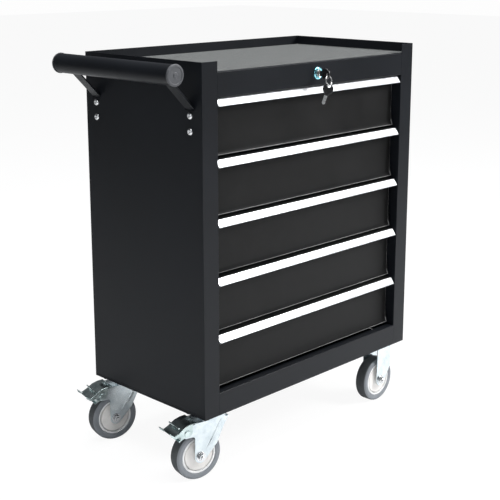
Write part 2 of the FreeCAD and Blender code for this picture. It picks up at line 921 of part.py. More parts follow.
def brakeShoe():
    """The pad that meets the tyre once the pedal has turned through its travel."""
    pivotU, pivotZ = pedalPivot
    half = shoeHalfWidth
    inner = wheelRadius + shoeGap
    start = (wheelTrail, -half, wheelAxleHeight)
    ring = rod(start, (0, 1, 0), inner + shoeDepth, 2 * half)
    ring = ring.cut(rod(start, (0, 1, 0), inner, 2 * half))
    corners = [(wheelTrail, wheelAxleHeight)]
    for angle in shoeAngles:
        corners.append(
            (wheelTrail + shoeReach * math.cos(math.radians(angle)),
             wheelAxleHeight + shoeReach * math.sin(math.radians(angle)))
        )
    pad = ring.common(prism(corners, "y", -half, half))
    web = prism(shoeWeb, "y", -half, half)
    hub = rod((pivotU, -half, pivotZ), (0, 1, 0), shoeHubRadius, 2 * half)
    shoe = joined(pad, web, hub)
    shoe.rotate(Vector(pivotU, 0, pivotZ), Vector(0, 1, 0), -pedalTravel)
    return shoe


def brakePedal():
    """A foot pedal with a dished tread, turned-up lip, side flanges, pivot pin and shoe."""
    pivotU, pivotZ = pedalPivot
    half = pedalHalfWidth
    pieces = [folded(pedalPath, pedalSheet, "y", -half, half), brakeShoe()]
    for start in (-half, half - pedalSheet):
        pieces.append(prism(pedalFlange, "y", start, start + pedalSheet))
    pinHalf = half + pedalPinOver
    pieces.append(rod((pivotU, -pinHalf, pivotZ), (0, 1, 0), pedalPinRadius, 2 * pinHalf))
    for side in (-1, 1):
        start = (pivotU, side * half, pivotZ)
        pieces.append(rod(start, (0, side, 0), pedalPinHead, pedalPinHeadRise))
    return joined(*pieces)


def revolvedAcross(points, arcs):
    """A wheel part turned from a half profile of (radius, offset) pairs about its axle."""
    edges = []
    count = len(points)
    for index in range(count):
        start = points[index]
        end = points[(index + 1) % count]
        first = Vector(start[0], start[1], 0)
        last = Vector(end[0], end[1], 0)
        if index in arcs:
            middle = Vector(arcs[index][0], arcs[index][1], 0)
            edges.append(Part.Arc(first, middle, last).toShape())
        else:
            edges.append(Part.makeLine(first, last))
    face = Part.Face(Part.Wire(edges))
    return face.revolve(Vector(0, 0, 0), Vector(0, 1, 0), 360)


def bothSides(half):
    return half + [(radius, -offset) for radius, offset in half[::-1]]


def wheelCore():
    """Hub, dished disc and rim in one moulding, with a shallow groove inside the rim."""
    bore = (sleeveRadius + runningGap, hubHalfWidth)
    return revolvedAcross(bothSides([bore] + wheelProfile), {})


def tyre():
    """The tread ring, with an arc for each shoulder."""
    radius, offset = shoulderMiddle
    arcs = {2: (radius, offset), 4: (radius, -offset)}
    return revolvedAcross(bothSides(tyreProfile), arcs)


def wheelAxle():
    """The bolt, sleeve, washers and nut that hold a wheel in its fork, clamped as one."""
    outside = forkInner + forkSheet
    length = 2 * outside + axleShort + axleLong
    shank = rod((0, -outside - axleShort, 0), (0, 1, 0), axleRadius, length)
    sleeve = rod((0, -forkInner, 0), (0, 1, 0), sleeveRadius, 2 * forkInner)
    pieces = [shank, sleeve]
    for side in (-1, 1):
        seat = outside + washerDepth
        pieces.append(rod((0, side * outside, 0), (0, side, 0), washerRadius, washerDepth))
        pieces.append(hexagon((0, side * seat, 0), (0, side, 0), axleNutFlats, axleNutDepth))
    return joined(*pieces)


def fixedFork():
    """A fixed caster's plate and its two straight legs, drawn with the axle under the plate."""
    low = casterHeight - plateThickness
    back = -fixedLegBack
    front = -fixedLegFront
    foot = tangentPoint(back, fixedLegTaper, 0, wheelAxleHeight, front)
    outline = [
        (back, low), (back, fixedLegTaper), foot, (0, wheelAxleHeight),
        (front, wheelAxleHeight), (front, low),
    ]
    pieces = [mountingPlate()]
    for start in (-forkInner - forkSheet, forkInner):
        pieces.append(prism(outline, "y", start, start + forkSheet))
        pieces.append(rod((0, start, wheelAxleHeight), (0, 1, 0), front, forkSheet))
    side = forkInner + forkSheet + boreOver
    hole = rod((0, -side, wheelAxleHeight), (0, 1, 0), axleRadius + axleHoleGap, 2 * side)
    return joined(*pieces).cut(hole)


def casterBolts():
    """The hexagon bolts under the plates and their nuts inside the base."""
    pieces = []
    for x, y in casterBoltPlaces():
        under = (x, y, -plateThickness)
        head = hexagon(under, (0, 0, -1), smallNutFlats, casterBoltHeadRise)
        shank = rod(under, (0, 0, 1), casterBoltRadius, casterBoltLength)
        nut = hexagon((x, y, baseSheet), (0, 0, 1), smallNutFlats, smallNutDepth)
        nut = nut.cut(rod((x, y, baseSheet), (0, 0, 1), casterBoltRadius, smallNutDepth))
        pieces += [joined(head, shank), nut]
    return grouped(pieces)


def writeCabinet():
    write(leftSidePanel(), "left_side_panel")
    write(mirrored(sidePanel()), "right_side_panel")
    write(backPanel(), "back_panel")
    write(basePan(), "base_pan")
    write(topRail(), "top_rail")
    write(topTray(), "top_tray")
    write(topMat(), "top_mat")
    write(rearUprights(), "rear_uprights")
    write(slideOuterMembers(), "slide_outer_members")


def writeDrawers():
    for index in range(drawerCount):
        name = f"drawer_{index + 1}"
        write(drawerBox(index), f"{name}_box")
        write(drawerPull(index), f"{name}_pull")
        write(pairOf(innerMember(slideHeight(index))), f"{name}_slides")
        write(pairOf(ballCage(slideHeight(index))), f"{name}_ball_cages")


def writeHandle():
    write(handleTube(), "handle_tube")
    write(grouped([handleEndPlug(-1), handleEndPlug(1)]), "handle_end_plugs")
    write(grouped([handleBracket(y) for y in bracketPlaces]), "handle_brackets")
    write(handleBolts(), "handle_bolts")


def writeLock():
    write(lockBody(), "lock_body")
    write(lockNut(), "lock_nut")
    write(lockPlug(), "lock_plug")
    write(lockRod(), "lock_rod")
    write(lockBar(), "lock_bar")
    write(key(), "key")
    write(keyRing(), "key_ring")


def writeSwivelCaster(name, y, yaw):
    turn = 180 - yaw
    fork = swivelFork()
    pedal = brakePedal()
    axlePlace = Vector(wheelTrail, 0, wheelAxleHeight)
    write(underCabinet(fork, -casterSpreadX, y, turn), f"{name}_swivel_fork")
    write(underCabinet(pedal, -casterSpreadX, y, turn), f"{name}_brake_pedal")
    for part, node in ((wheelAxle(), "axle"), (wheelCore(), "wheel"), (tyre(), "tyre")):
        part.translate(axlePlace)
        write(underCabinet(part, -casterSpreadX, y, turn), f"{name}_swivel_{node}")


def writeFixedWheel(name, y):
    for part, node in ((wheelCore(), "wheel"), (tyre(), "tyre")):
        part.translate(Vector(0, 0, wheelAxleHeight))
        write(underCabinet(part, fixedCasterX, y, 180), f"{name}_fixed_{node}")


def writeCasters():
    sides = (-casterSpreadY, casterSpreadY)
    write(
        grouped([underCabinet(swivelPlate(), -casterSpreadX, y, 0) for y in sides]),
        "swivel_caster_plates",
    )
    write(
        grouped([underCabinet(fixedFork(), fixedCasterX, y, 180) for y in sides]),
        "fixed_caster_forks",
    )
    axle = wheelAxle()
    axle.translate(Vector(0, 0, wheelAxleHeight))
    write(
        grouped([underCabinet(axle, fixedCasterX, y, 180) for y in sides]), "fixed_caster_axles"
    )
    write(casterBolts(), "caster_bolts")
    writeSwivelCaster("front", -casterSpreadY, frontCasterYaw)
    writeSwivelCaster("rear", casterSpreadY, rearCasterYaw)
    writeFixedWheel("front", -casterSpreadY)
    writeFixedWheel("rear", casterSpreadY)


writeCabinet()
writeDrawers()
writeHandle()
writeLock()
writeCasters()
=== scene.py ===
import json
import math

import bmesh
import bpy
from mathutils import Matrix, Vector


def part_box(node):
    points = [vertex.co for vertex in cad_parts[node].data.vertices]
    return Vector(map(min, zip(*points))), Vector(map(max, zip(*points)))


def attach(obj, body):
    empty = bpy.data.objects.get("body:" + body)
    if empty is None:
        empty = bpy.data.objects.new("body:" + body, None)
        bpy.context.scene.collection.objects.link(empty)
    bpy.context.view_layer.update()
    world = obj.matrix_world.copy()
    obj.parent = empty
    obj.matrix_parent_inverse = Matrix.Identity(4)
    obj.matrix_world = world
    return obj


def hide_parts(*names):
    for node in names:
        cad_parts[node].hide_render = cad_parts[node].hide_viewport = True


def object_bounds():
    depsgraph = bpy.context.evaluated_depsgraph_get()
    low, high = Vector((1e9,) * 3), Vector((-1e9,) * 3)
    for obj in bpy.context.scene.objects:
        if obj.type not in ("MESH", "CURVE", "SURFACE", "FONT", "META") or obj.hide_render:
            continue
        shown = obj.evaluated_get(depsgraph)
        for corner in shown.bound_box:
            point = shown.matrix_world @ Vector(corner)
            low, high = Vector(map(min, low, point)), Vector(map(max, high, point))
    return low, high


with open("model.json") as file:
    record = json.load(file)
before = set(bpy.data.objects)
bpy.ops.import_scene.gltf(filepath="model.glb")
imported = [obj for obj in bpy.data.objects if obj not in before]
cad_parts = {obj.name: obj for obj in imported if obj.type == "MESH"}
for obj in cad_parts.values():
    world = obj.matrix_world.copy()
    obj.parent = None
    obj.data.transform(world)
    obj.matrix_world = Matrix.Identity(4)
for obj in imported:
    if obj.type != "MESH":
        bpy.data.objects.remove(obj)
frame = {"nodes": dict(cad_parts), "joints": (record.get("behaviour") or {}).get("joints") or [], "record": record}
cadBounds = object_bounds()
record = frame["record"]
joints = {joint["name"]: joint for joint in frame["joints"]}
bodyOf = {node: body for body, nodes in record["behaviour"]["bodies"].items() for node in nodes}
slotOf = {part["node"]: part["material_slot"] for part in record["subparts"]}
print("frame loaded:", len(bodyOf), "nodes")


# Making meshes

making = {
    "sharpAngle": 38, "foldAngle": 50, "hexAngle": 30, "ribAngle": 25, "normalWeight": 80, "softSteps": 4,
    "softReach": 0.45, "pointRadius": 1e-7, "segments": 96, "weld": 2e-6, "flat": 0.004, "apart": 0.001,
    "corner": 0.6, "crossing": 0.85, "edgeReach": 0.42, "freeEdge": 1.0, "wideFace": 0.0035,
    "bevelSegments": 3, "anyTurn": 6.28,
}


def linkedPiece(name, mesh):
    piece = bpy.data.objects.new(name, mesh)
    bpy.context.scene.collection.objects.link(piece)
    return piece


def plainMesh(piece):
    # the evaluated shape takes the place of the mesh and its modifiers
    depsgraph = bpy.context.evaluated_depsgraph_get()
    mesh = bpy.data.meshes.new_from_object(
        piece.evaluated_get(depsgraph), preserve_all_data_layers=True, depsgraph=depsgraph
    )
    mesh.name = piece.name
    piece.modifiers.clear()
    piece.data = mesh
    return piece


def evenShading(piece, sharpAngle=making["sharpAngle"]):
    # flat faces stay flat beside their rounded edges
    mesh = piece.data
    mesh.polygons.foreach_set("use_smooth", [True] * len(mesh.polygons))
    mesh.set_sharp_from_angle(angle=math.radians(sharpAngle))
    normals = piece.modifiers.new("evenNormals", "WEIGHTED_NORMAL")
    normals.keep_sharp = True
    normals.weight = making["normalWeight"]
    return plainMesh(piece)


def pieceFrom(shape, name, sharpAngle=making["sharpAngle"]):
    # a bmesh becomes an object with its faces pointing outwards
    bmesh.ops.recalc_face_normals(shape, faces=shape.faces)
    mesh = bpy.data.meshes.new(name)
    shape.to_mesh(mesh)
    shape.free()
    return evenShading(linkedPiece(name, mesh), sharpAngle)


def softened(corners, steps):
    # a closed outline of (radius, along, softness, sides), its soft corners turned to short arcs
    corners = [tuple(corner) + (0, 0)[len(corner) - 2:] for corner in corners]
    reach = making["softReach"]
    outline = []
    for index, (radius, along, softness, sides) in enumerate(corners):
        corner = Vector((radius, along))
        before = Vector(corners[index - 1][:2]) - corner
        after = Vector(corners[(index + 1) % len(corners)][:2]) - corner
        if not softness:
            outline.append((radius, along, sides))
            continue
        start = corner + before.normalized() * min(softness, before.length * reach)
        end = corner + after.normalized() * min(softness, after.length * reach)
        for step in range(steps + 1):
            share = step / steps
            point = start.lerp(corner, share).lerp(corner.lerp(end, share), share)
            outline.append((point.x, point.y, sides))
    return outline


def turn(shape, corners, place, segments=making["segments"], steps=making["softSteps"]):
    # turns an outline round the local Z axis; sides above zero give a prism instead of a circle
    rings = []
    for radius, along, sides in softened(corners, steps):
        if radius < making["pointRadius"]:
            rings.append([shape.verts.new(place @ Vector((0, 0, along)))])
            continue
        ring = []
        for k in range(segments):
            angle = 2 * math.pi * k / segments
            reach = radius
            if sides:
                half = math.pi / sides
                reach = radius * math.cos(half) / math.cos(angle % (2 * half) - half)
            ring.append(shape.verts.new(
                place @ Vector((reach * math.cos(angle), reach * math.sin(angle), along))
            ))
        rings.append(ring)
    for index, ring in enumerate(rings):
        following = rings[(index + 1) % len(rings)]
        for k in range(segments):
            n = (k + 1) % segments
            if len(ring) == 1 and len(following) == 1:
                break
            if len(ring) == 1:
                shape.faces.new((ring[0], following[k], following[n]))
            elif len(following) == 1:
                shape.faces.new((ring[k], following[0], ring[n]))
            else:
                shape.faces.new((ring[k], following[k], following[n], ring[n]))


def middleOf(low, high):
    return (Vector(low) + Vector(high)) / 2


def axisPlace(point, axis):
    return Matrix.Translation(Vector(point)) @ Vector(axis).to_track_quat("Z", "Y").to_matrix().to_4x4()


def mergedShape(node):
    shape = bmesh.new()
    shape.from_mesh(frame["nodes"][node].data)
    bmesh.ops.remove_doubles(shape, verts=shape.verts, dist=making["weld"])
    bmesh.ops.dissolve_limit(shape, angle_limit=making["flat"], verts=shape.verts, edges=shape.edges)
    return shape


def islandBoxes(node):
    # the box of each separate solid in a node
    shape = mergedShape(node)
    left = set(shape.verts)
    boxes = []
    while left:
        reached = [left.pop()]
        points = []
        while reached:
            vert = reached.pop()
            points.append(vert.co.copy())
            for edge in vert.link_edges:
                other = edge.other_vert(vert)
                if other in left:
                    left.remove(other)
                    reached.append(other)
        low = Vector([min(point[axis] for point in points) for axis in range(3)])
        high = Vector([max(point[axis] for point in points) for axis in range(3)])
        boxes.append((low, high))
    shape.free()
    return boxes


def edgeRoom(edge):
    # how far the two faces let an edge be rounded before it meets the next edge
    direction = (edge.verts[1].co - edge.verts[0].co).normalized()
    room = making["freeEdge"]
    for loop in edge.link_loops:
        for near in (loop.link_loop_next.edge, loop.link_loop_prev.edge):
            along = (near.verts[1].co - near.verts[0].co).normalized()
            if abs(along.dot(direction)) < making["crossing"]:
                room = min(room, near.calc_length() * making["edgeReach"])
    return room


def faceWidth(face):
    return 2 * face.calc_area() / face.calc_perimeter()


def refined(name, node, fold, edge):
    # a merged copy of a CAD node: folds between wide faces get the fold radius, other edges less
    shape = mergedShape(node)
    weights = shape.edges.layers.float.new("bevel_weight_edge")
    for side in shape.edges:
        if len(side.link_faces) != 2 or side.calc_face_angle(0) < making["corner"]:
            continue
        wide = all(faceWidth(face) > making["wideFace"] for face in side.link_faces)
        radius = fold if wide and side.is_convex else edge
        side[weights] = min(radius, edgeRoom(side)) / fold
    mesh = bpy.data.meshes.new(name)
    shape.to_mesh(mesh)
    shape.free()
    for leftOver in ("custom_normal", "sharp_face", "sharp_edge"):
        if leftOver in mesh.attributes:
            mesh.attributes.remove(mesh.attributes[leftOver])
    piece = linkedPiece(name, mesh)
    bevel = piece.modifiers.new("edges", "BEVEL")
    bevel.limit_method = "WEIGHT"
    bevel.width = fold
    bevel.segments = making["bevelSegments"]
    bevel.use_clamp_overlap = False
    plainMesh(piece)
    return evenShading(piece, making["foldAngle"])


def markEdges(piece, widest):
    # the narrow faces of rounded edges get an attribute that the finish turns to a painted highlight, a lighter grey
    # standing in for light caught on the folds
    shape = bmesh.new()
    shape.from_mesh(piece.data)
    marks = [float(faceWidth(face) < widest) for face in shape.faces]
    shape.free()
    piece.data.attributes.new("rubbedEdge", "FLOAT", "FACE").data.foreach_set("value", marks)
    return piece


def settle(piece, finish, body, slot, *nodes):
    piece.data.materials.clear()
    piece.data.materials.append(finishes[finish])
    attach(piece, body)
    if nodes:
        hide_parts(*nodes)
    return piece


def settleFor(piece, finish, *nodes):
    return settle(piece, finish, bodyOf[nodes[0]], slotOf[nodes[0]], *nodes)


def refinedNode(name, node, fold, edge, finish):
    return settleFor(refined(name, node, fold, edge), finish, node)


def keepNode(node, finish):
    # a CAD node whose shape is right only gets its finish
    mesh = frame["nodes"][node].data
    mesh.materials.clear()
    mesh.materials.append(finishes[finish])


def paintFaces(piece, finish, chosen):
    # a second finish on the faces whose direction is chosen
    piece.data.materials.append(finishes[finish])
    for face in piece.data.polygons:
        face.material_index = int(chosen(face.normal))


# Shader parts

def addNode(tree, kind, inputs=None, **settings):
    node = tree.nodes.new(kind)
    for setting, value in settings.items():
        setattr(node, setting, value)
    for socket, value in (inputs or {}).items():
        if isinstance(value, bpy.types.NodeSocket):
            tree.links.new(value, node.inputs[socket])
        else:
            node.inputs[socket].default_value = value
    return node


def mathNode(tree, operation, first, second, clamp=False):
    return addNode(tree, "ShaderNodeMath", {0: first, 1: second}, operation=operation, use_clamp=clamp).outputs[0]


def shaderGroup(name, inputs, outputs):
    group = bpy.data.node_groups.new(name, "ShaderNodeTree")
    for label, value in inputs.items():
        kind = "NodeSocketVector" if value is None else "NodeSocketFloat"
        socket = group.interface.new_socket(label, in_out="INPUT", socket_type=kind)
        if value is not None:
            socket.default_value = value
    for label in outputs:
        group.interface.new_socket(label, in_out="OUTPUT", socket_type="NodeSocketFloat")
    return group, group.nodes.new("NodeGroupInput").outputs, group.nodes.new("NodeGroupOutput").inputs


def sized(tree, vector, size):
    # object coordinates counted in units of the given size
    inverse = mathNode(tree, "DIVIDE", 1.0, size)
    return addNode(tree, "ShaderNodeVectorMath", {0: vector, "Scale": inverse}, operation="SCALE").outputs[0]


def makePatches():
    # slow cloudy change, as in powder coat, plate and moulded skin
    group, given, out = shaderGroup("softPatches", {"Vector": None, "Size": 0.1, "Contrast": 1.0}, ["Patches"])
    noise = addNode(group, "ShaderNodeTexNoise", {
        "Vector": sized(group, given["Vector"], given["Size"]), "Scale": 1.0, "Detail": 4.0, "Roughness": 0.55,
    })
    centred = mathNode(group, "SUBTRACT", noise.outputs["Fac"], 0.5)
    spread = mathNode(group, "MULTIPLY", centred, given["Contrast"])
    group.links.new(mathNode(group, "ADD", spread, 0.5, True), out["Patches"])
    return group


def makeGrain():
    # fine pitted skin: orange peel in paint, spark texture in mouldings
    group, given, out = shaderGroup("surfaceGrain", {"Vector": None, "Size": 0.001}, ["Grain", "Height"])
    vector = sized(group, given["Vector"], given["Size"])
    cells = addNode(group, "ShaderNodeTexVoronoi", {"Vector": vector, "Scale": 1.0}, feature="SMOOTH_F1")
    noise = addNode(group, "ShaderNodeTexNoise", {"Vector": vector, "Scale": 0.8, "Detail": 3.0})
    height = mathNode(group, "MULTIPLY", cells.outputs["Distance"], noise.outputs["Fac"])
    group.links.new(noise.outputs["Fac"], out["Grain"])
    group.links.new(height, out["Height"])
    return group


def makeLines():
    # drawn or brushed lines that run along X of the vector
    group, given, out = shaderGroup("drawnLines", {"Vector": None, "Size": 0.001, "Length": 40.0}, ["Lines"])
    vector = sized(group, given["Vector"], given["Size"])
    split = addNode(group, "ShaderNodeSeparateXYZ", {0: vector})
    along = mathNode(group, "DIVIDE", split.outputs[0], given["Length"])
    joined = addNode(group, "ShaderNodeCombineXYZ", {0: along, 1: split.outputs[1], 2: split.outputs[2]})
    noise = addNode(group, "ShaderNodeTexNoise", {
        "Vector": joined.outputs[0], "Scale": 1.0, "Detail": 5.0, "Roughness": 0.7,
    })
    group.links.new(noise.outputs["Fac"], out["Lines"])
    return group


def makeMarks():
    # sparse hairline scratches and rubbed spots from handling
    group, given, out = shaderGroup("handlingMarks", {"Vector": None, "Size": 0.03, "Amount": 0.3}, ["Marks"])
    vector = sized(group, given["Vector"], given["Size"])
    bent = addNode(group, "ShaderNodeTexNoise", {"Vector": vector, "Scale": 1.6, "Detail": 2.0})
    moved = addNode(group, "ShaderNodeVectorMath", {0: vector, 1: bent.outputs["Color"]}, operation="ADD")
    cracks = addNode(group, "ShaderNodeTexVoronoi", {"Vector": moved.outputs[0], "Scale": 0.9},
                     feature="DISTANCE_TO_EDGE")
    thin = addNode(group, "ShaderNodeMapRange", {"Value": cracks.outputs["Distance"], "From Min": 0.0,
                   "From Max": 0.012, "To Min": 1.0, "To Max": 0.0})
    places = addNode(group, "ShaderNodeTexNoise", {"Vector": vector, "Scale": 0.5, "Detail": 3.0})
    chosen = addNode(group, "ShaderNodeMapRange", {"Value": places.outputs["Fac"], "From Min": 0.52, "From Max": 0.7})
    both = mathNode(group, "MULTIPLY", thin.outputs[0], chosen.outputs[0])
    group.links.new(mathNode(group, "MULTIPLY", both, given["Amount"]), out["Marks"])
    return group


groups = {"patches": makePatches(), "grain": makeGrain(), "lines": makeLines(), "marks": makeMarks()}
plainLook = {
    "dark": (0.1, 0.1, 0.1), "light": (0.2, 0.2, 0.2), "patchSize": 0.08, "patchContrast": 1.6,
    "grainSize": 0.0009, "grainTint": 0.3, "roughness": (0.35, 0.5), "bump": 0.00002, "metallic": 0.0,
    "lineSize": 0.0, "lineLength": 40.0, "lineTint": 0.3, "lineTurn": (0, 0, 0),
    "markSize": 0.04, "markAmount": 0.15, "specular": 0.5, "coat": 0.0, "coatRoughness": 0.25,
    "brighter": (1.35, 0.004), "lineRoughness": 0.1, "lineRelief": 0.6, "markRoughness": 0.3,
    "edgeTint": 0.0, "leastEdgeHighlight": 0.4, "edgeHighlight": (0.5, 0.5, 0.5),
}


def madeFinish(name, changes):
    look = {**plainLook, **changes}
    finish = bpy.data.materials.new(name)
    finish.use_nodes = True
    tree = finish.node_tree
    tree.nodes.clear()
    output = tree.nodes.new("ShaderNodeOutputMaterial")
    place = addNode(tree, "ShaderNodeTexCoord").outputs["Object"]

    def group(kind, values):
        return addNode(tree, "ShaderNodeGroup", values, node_tree=groups[kind]).outputs

    def blend(factor, first, second):
        return addNode(tree, "ShaderNodeMix", {0: factor, 6: first, 7: second}, data_type="RGBA").outputs[2]

    def ranged(value, low, high):
        return addNode(tree, "ShaderNodeMapRange", {"Value": value, "To Min": low, "To Max": high}).outputs[0]

    def times(value, factor):
        return mathNode(tree, "MULTIPLY", value, factor)

    def plus(value, other):
        return mathNode(tree, "ADD", value, other, True)

    patches = group("patches", {"Vector": place, "Size": look["patchSize"], "Contrast": look["patchContrast"]})[0]
    grain = group("grain", {"Vector": place, "Size": look["grainSize"]})
    marks = group("marks", {"Vector": place, "Size": look["markSize"], "Amount": look["markAmount"]})[0]
    colour = blend(patches, (*look["dark"], 1), (*look["light"], 1))
    gain, lift = look["brighter"]
    brighter = tuple(min(1, channel * gain + lift) for channel in look["light"])
    colour = blend(times(grain["Grain"], look["grainTint"]), colour, (*brighter, 1))
    rough = ranged(patches, *look["roughness"])
    height = grain["Height"]
    if look["lineSize"]:
        mapping = addNode(tree, "ShaderNodeMapping", {"Vector": place, "Rotation": look["lineTurn"]})
        lines = group("lines", {"Vector": mapping.outputs[0], "Size": look["lineSize"],
                                "Length": look["lineLength"]})[0]
        shade = tuple(channel * (1 - look["lineTint"]) for channel in look["dark"])
        colour = blend(ranged(lines, 0.0, look["lineTint"]), colour, (*shade, 1))
        rough = plus(rough, ranged(lines, -look["lineRoughness"], look["lineRoughness"]))
        height = plus(times(height, 1 - look["lineRelief"]), times(lines, look["lineRelief"]))
    colour = blend(marks, colour, (*brighter, 1))
    rough = plus(rough, times(marks, look["markRoughness"]))
    # painted highlight: marked edge faces are blended in patches towards a light grey, standing in for light caught on
    # rounded folds
    if look["edgeTint"]:
        edges = addNode(tree, "ShaderNodeAttribute", attribute_name="rubbedEdge").outputs["Fac"]
        edgeHighlight = times(times(edges, ranged(patches, look["leastEdgeHighlight"], 1.0)), look["edgeTint"])
        colour = blend(edgeHighlight, colour, (*look["edgeHighlight"], 1))
    bump = addNode(tree, "ShaderNodeBump", {"Height": height, "Distance": look["bump"], "Strength": 1.0})
    shader = addNode(tree, "ShaderNodeBsdfPrincipled", {
        "Base Color": colour, "Roughness": rough, "Normal": bump.outputs[0],
        "Metallic": look["metallic"], "Specular IOR Level": look["specular"],
        "Coat Weight": look["coat"], "Coat Roughness": look["coatRoughness"],
    })
    tree.links.new(shader.outputs[0], output.inputs[0])
    return finish


looks = {
    "cabinetPaint": {
        "dark": (0.0042, 0.005, 0.0066), "light": (0.0066, 0.008, 0.011), "patchSize": 0.16,
        "grainSize": 0.0008, "grainTint": 0.25, "roughness": (0.36, 0.44), "bump": 0.00004,
        "markSize": 0.09, "markAmount": 0.05, "specular": 0.2,
    },
    # the drawers' rounded edges get a painted highlight through edgeTint
    "drawerPaint": {
        "dark": (0.006, 0.006, 0.006), "light": (0.012, 0.012, 0.012), "patchSize": 0.09,
        "patchContrast": 2.2, "grainSize": 0.0008, "grainTint": 0.3, "roughness": (0.38, 0.5),
        "bump": 0.00005, "markSize": 0.07, "markAmount": 0.08, "specular": 0.13, "edgeTint": 1.0,
    },
    "innerPaint": {
        "dark": (0.011, 0.011, 0.012), "light": (0.016, 0.016, 0.017), "roughness": (0.42, 0.52),
        "bump": 0.00004,
    },
    "matRubber": {
        "dark": (0.055, 0.058, 0.057), "light": (0.085, 0.088, 0.087), "patchSize": 0.016, "patchContrast": 2.6,
        "grainSize": 0.0022, "grainTint": 0.6, "roughness": (0.62, 0.8), "bump": 0.0001,
        "markSize": 0.05, "markAmount": 0.12, "specular": 0.35,
    },
    "pullAluminium": {
        "dark": (0.66, 0.675, 0.7), "light": (0.72, 0.735, 0.76), "metallic": 0.6, "roughness": (0.3, 0.38),
        "grainSize": 0.0005, "grainTint": 0.2, "bump": 0.000006, "lineSize": 0.0004, "lineLength": 90.0,
        "lineTint": 0.1, "markSize": 0.06, "markAmount": 0.1,
    },
    "casterZinc": {
        "dark": (0.5, 0.58, 0.62), "light": (0.82, 0.88, 0.9), "metallic": 1.0, "roughness": (0.14, 0.28),
        "patchSize": 0.018, "patchContrast": 2.4, "grainSize": 0.0012, "grainTint": 0.25, "bump": 0.00002,
        "lineSize": 0.0007, "lineLength": 14.0, "lineTint": 0.18, "lineTurn": (0, math.pi / 2, 0),
        "markSize": 0.015, "markAmount": 0.25,
    },
    "pedalZinc": {
        "dark": (0.34, 0.44, 0.44), "light": (0.7, 0.79, 0.78), "metallic": 1.0, "roughness": (0.12, 0.26),
        "patchSize": 0.015, "patchContrast": 2.2, "grainSize": 0.0012, "grainTint": 0.2, "bump": 0.00001,
        "markSize": 0.012, "markAmount": 0.3,
    },
    "slideZinc": {
        "dark": (0.48, 0.5, 0.52), "light": (0.64, 0.66, 0.68), "metallic": 1.0, "roughness": (0.24, 0.36),
        "patchSize": 0.03, "grainSize": 0.001, "bump": 0.000008, "lineSize": 0.0005, "lineLength": 60.0,
        "lineTint": 0.15, "lineTurn": (0, 0, math.pi / 2),
    },
    "boltNickel": {
        "dark": (0.66, 0.67, 0.68), "light": (0.82, 0.82, 0.83), "metallic": 1.0, "roughness": (0.14, 0.26),
        "patchSize": 0.004, "grainSize": 0.0006, "grainTint": 0.2, "bump": 0.000004,
        "markSize": 0.004, "markAmount": 0.3,
    },
    "lockChrome": {
        "dark": (0.16, 0.5, 0.62), "light": (0.35, 0.75, 0.85), "metallic": 1.0, "roughness": (0.08, 0.16),
        "patchSize": 0.012, "patchContrast": 2.5, "grainSize": 0.001, "grainTint": 0.1, "bump": 0.000002,
        "markSize": 0.006, "markAmount": 0.15,
    },
    "lockBrass": {
        "dark": (0.6, 0.6, 0.58), "light": (0.8, 0.79, 0.75), "metallic": 1.0, "roughness": (0.2, 0.32),
        "patchSize": 0.006, "grainSize": 0.0006, "bump": 0.000004, "markSize": 0.004, "markAmount": 0.3,
    },
    "keySteel": {
        "dark": (0.5, 0.5, 0.5), "light": (0.72, 0.72, 0.71), "metallic": 1.0, "roughness": (0.18, 0.3),
        "patchSize": 0.006, "grainSize": 0.0005, "bump": 0.000004, "markSize": 0.005, "markAmount": 0.4,
    },
    "keyPlastic": {
        "dark": (0.006, 0.006, 0.007), "light": (0.014, 0.014, 0.015), "roughness": (0.2, 0.32),
        "patchSize": 0.006, "grainSize": 0.0005, "grainTint": 0.15, "bump": 0.00001,
        "markSize": 0.005, "markAmount": 0.3,
    },
    "plugPlastic": {
        "dark": (0.05, 0.052, 0.058), "light": (0.075, 0.078, 0.086), "roughness": (0.42, 0.55),
        "patchSize": 0.012, "grainSize": 0.0005, "grainTint": 0.3, "bump": 0.00003,
        "markSize": 0.01, "markAmount": 0.2,
    },
    "wheelCover": {
        "dark": (0.8, 0.765, 0.73), "light": (0.89, 0.86, 0.83), "roughness": (0.38, 0.5),
        "patchSize": 0.012, "grainSize": 0.0006, "grainTint": 0.2, "bump": 0.00002,
        "markSize": 0.02, "markAmount": 0.15,
    },
    "wheelRim": {
        "dark": (0.88, 0.88, 0.88), "light": (0.94, 0.94, 0.935), "roughness": (0.26, 0.38),
        "patchSize": 0.015, "grainSize": 0.0006, "grainTint": 0.15, "bump": 0.00001,
        "markSize": 0.02, "markAmount": 0.1,
    },
    # painted shade: the same rubber as tyreRubber, made darker for the shade that falls on the tread
    "treadRubber": {
        "dark": (0.06, 0.066, 0.07), "light": (0.095, 0.1, 0.105), "roughness": (0.55, 0.72),
        "patchSize": 0.012, "patchContrast": 2.0, "grainSize": 0.0008, "grainTint": 0.4, "bump": 0.00008,
        "markSize": 0.012, "markAmount": 0.25, "specular": 0.3,
    },
    "tyreRubber": {
        "dark": (0.19, 0.205, 0.225), "light": (0.25, 0.265, 0.285), "roughness": (0.5, 0.66),
        "patchSize": 0.02, "grainSize": 0.0007, "grainTint": 0.3, "bump": 0.00005,
        "markSize": 0.015, "markAmount": 0.2,
    },
}
finishes = {name: madeFinish(name, look) for name, look in looks.items()}
print("finishes made:", len(finishes))


# Geometry node trees for what repeats

def geometryTree(name, sockets):
    tree = bpy.data.node_groups.new(name, "GeometryNodeTree")
    tree.interface.new_socket("Geometry", in_out="INPUT", socket_type="NodeSocketGeometry")
    for label, kind in sockets:
        tree.interface.new_socket(label, in_out="INPUT", socket_type="NodeSocket" + kind)
    tree.interface.new_socket("Geometry", in_out="OUTPUT", socket_type="NodeSocketGeometry")
    return tree, tree.nodes.new("NodeGroupInput").outputs, tree.nodes.new("NodeGroupOutput").inputs


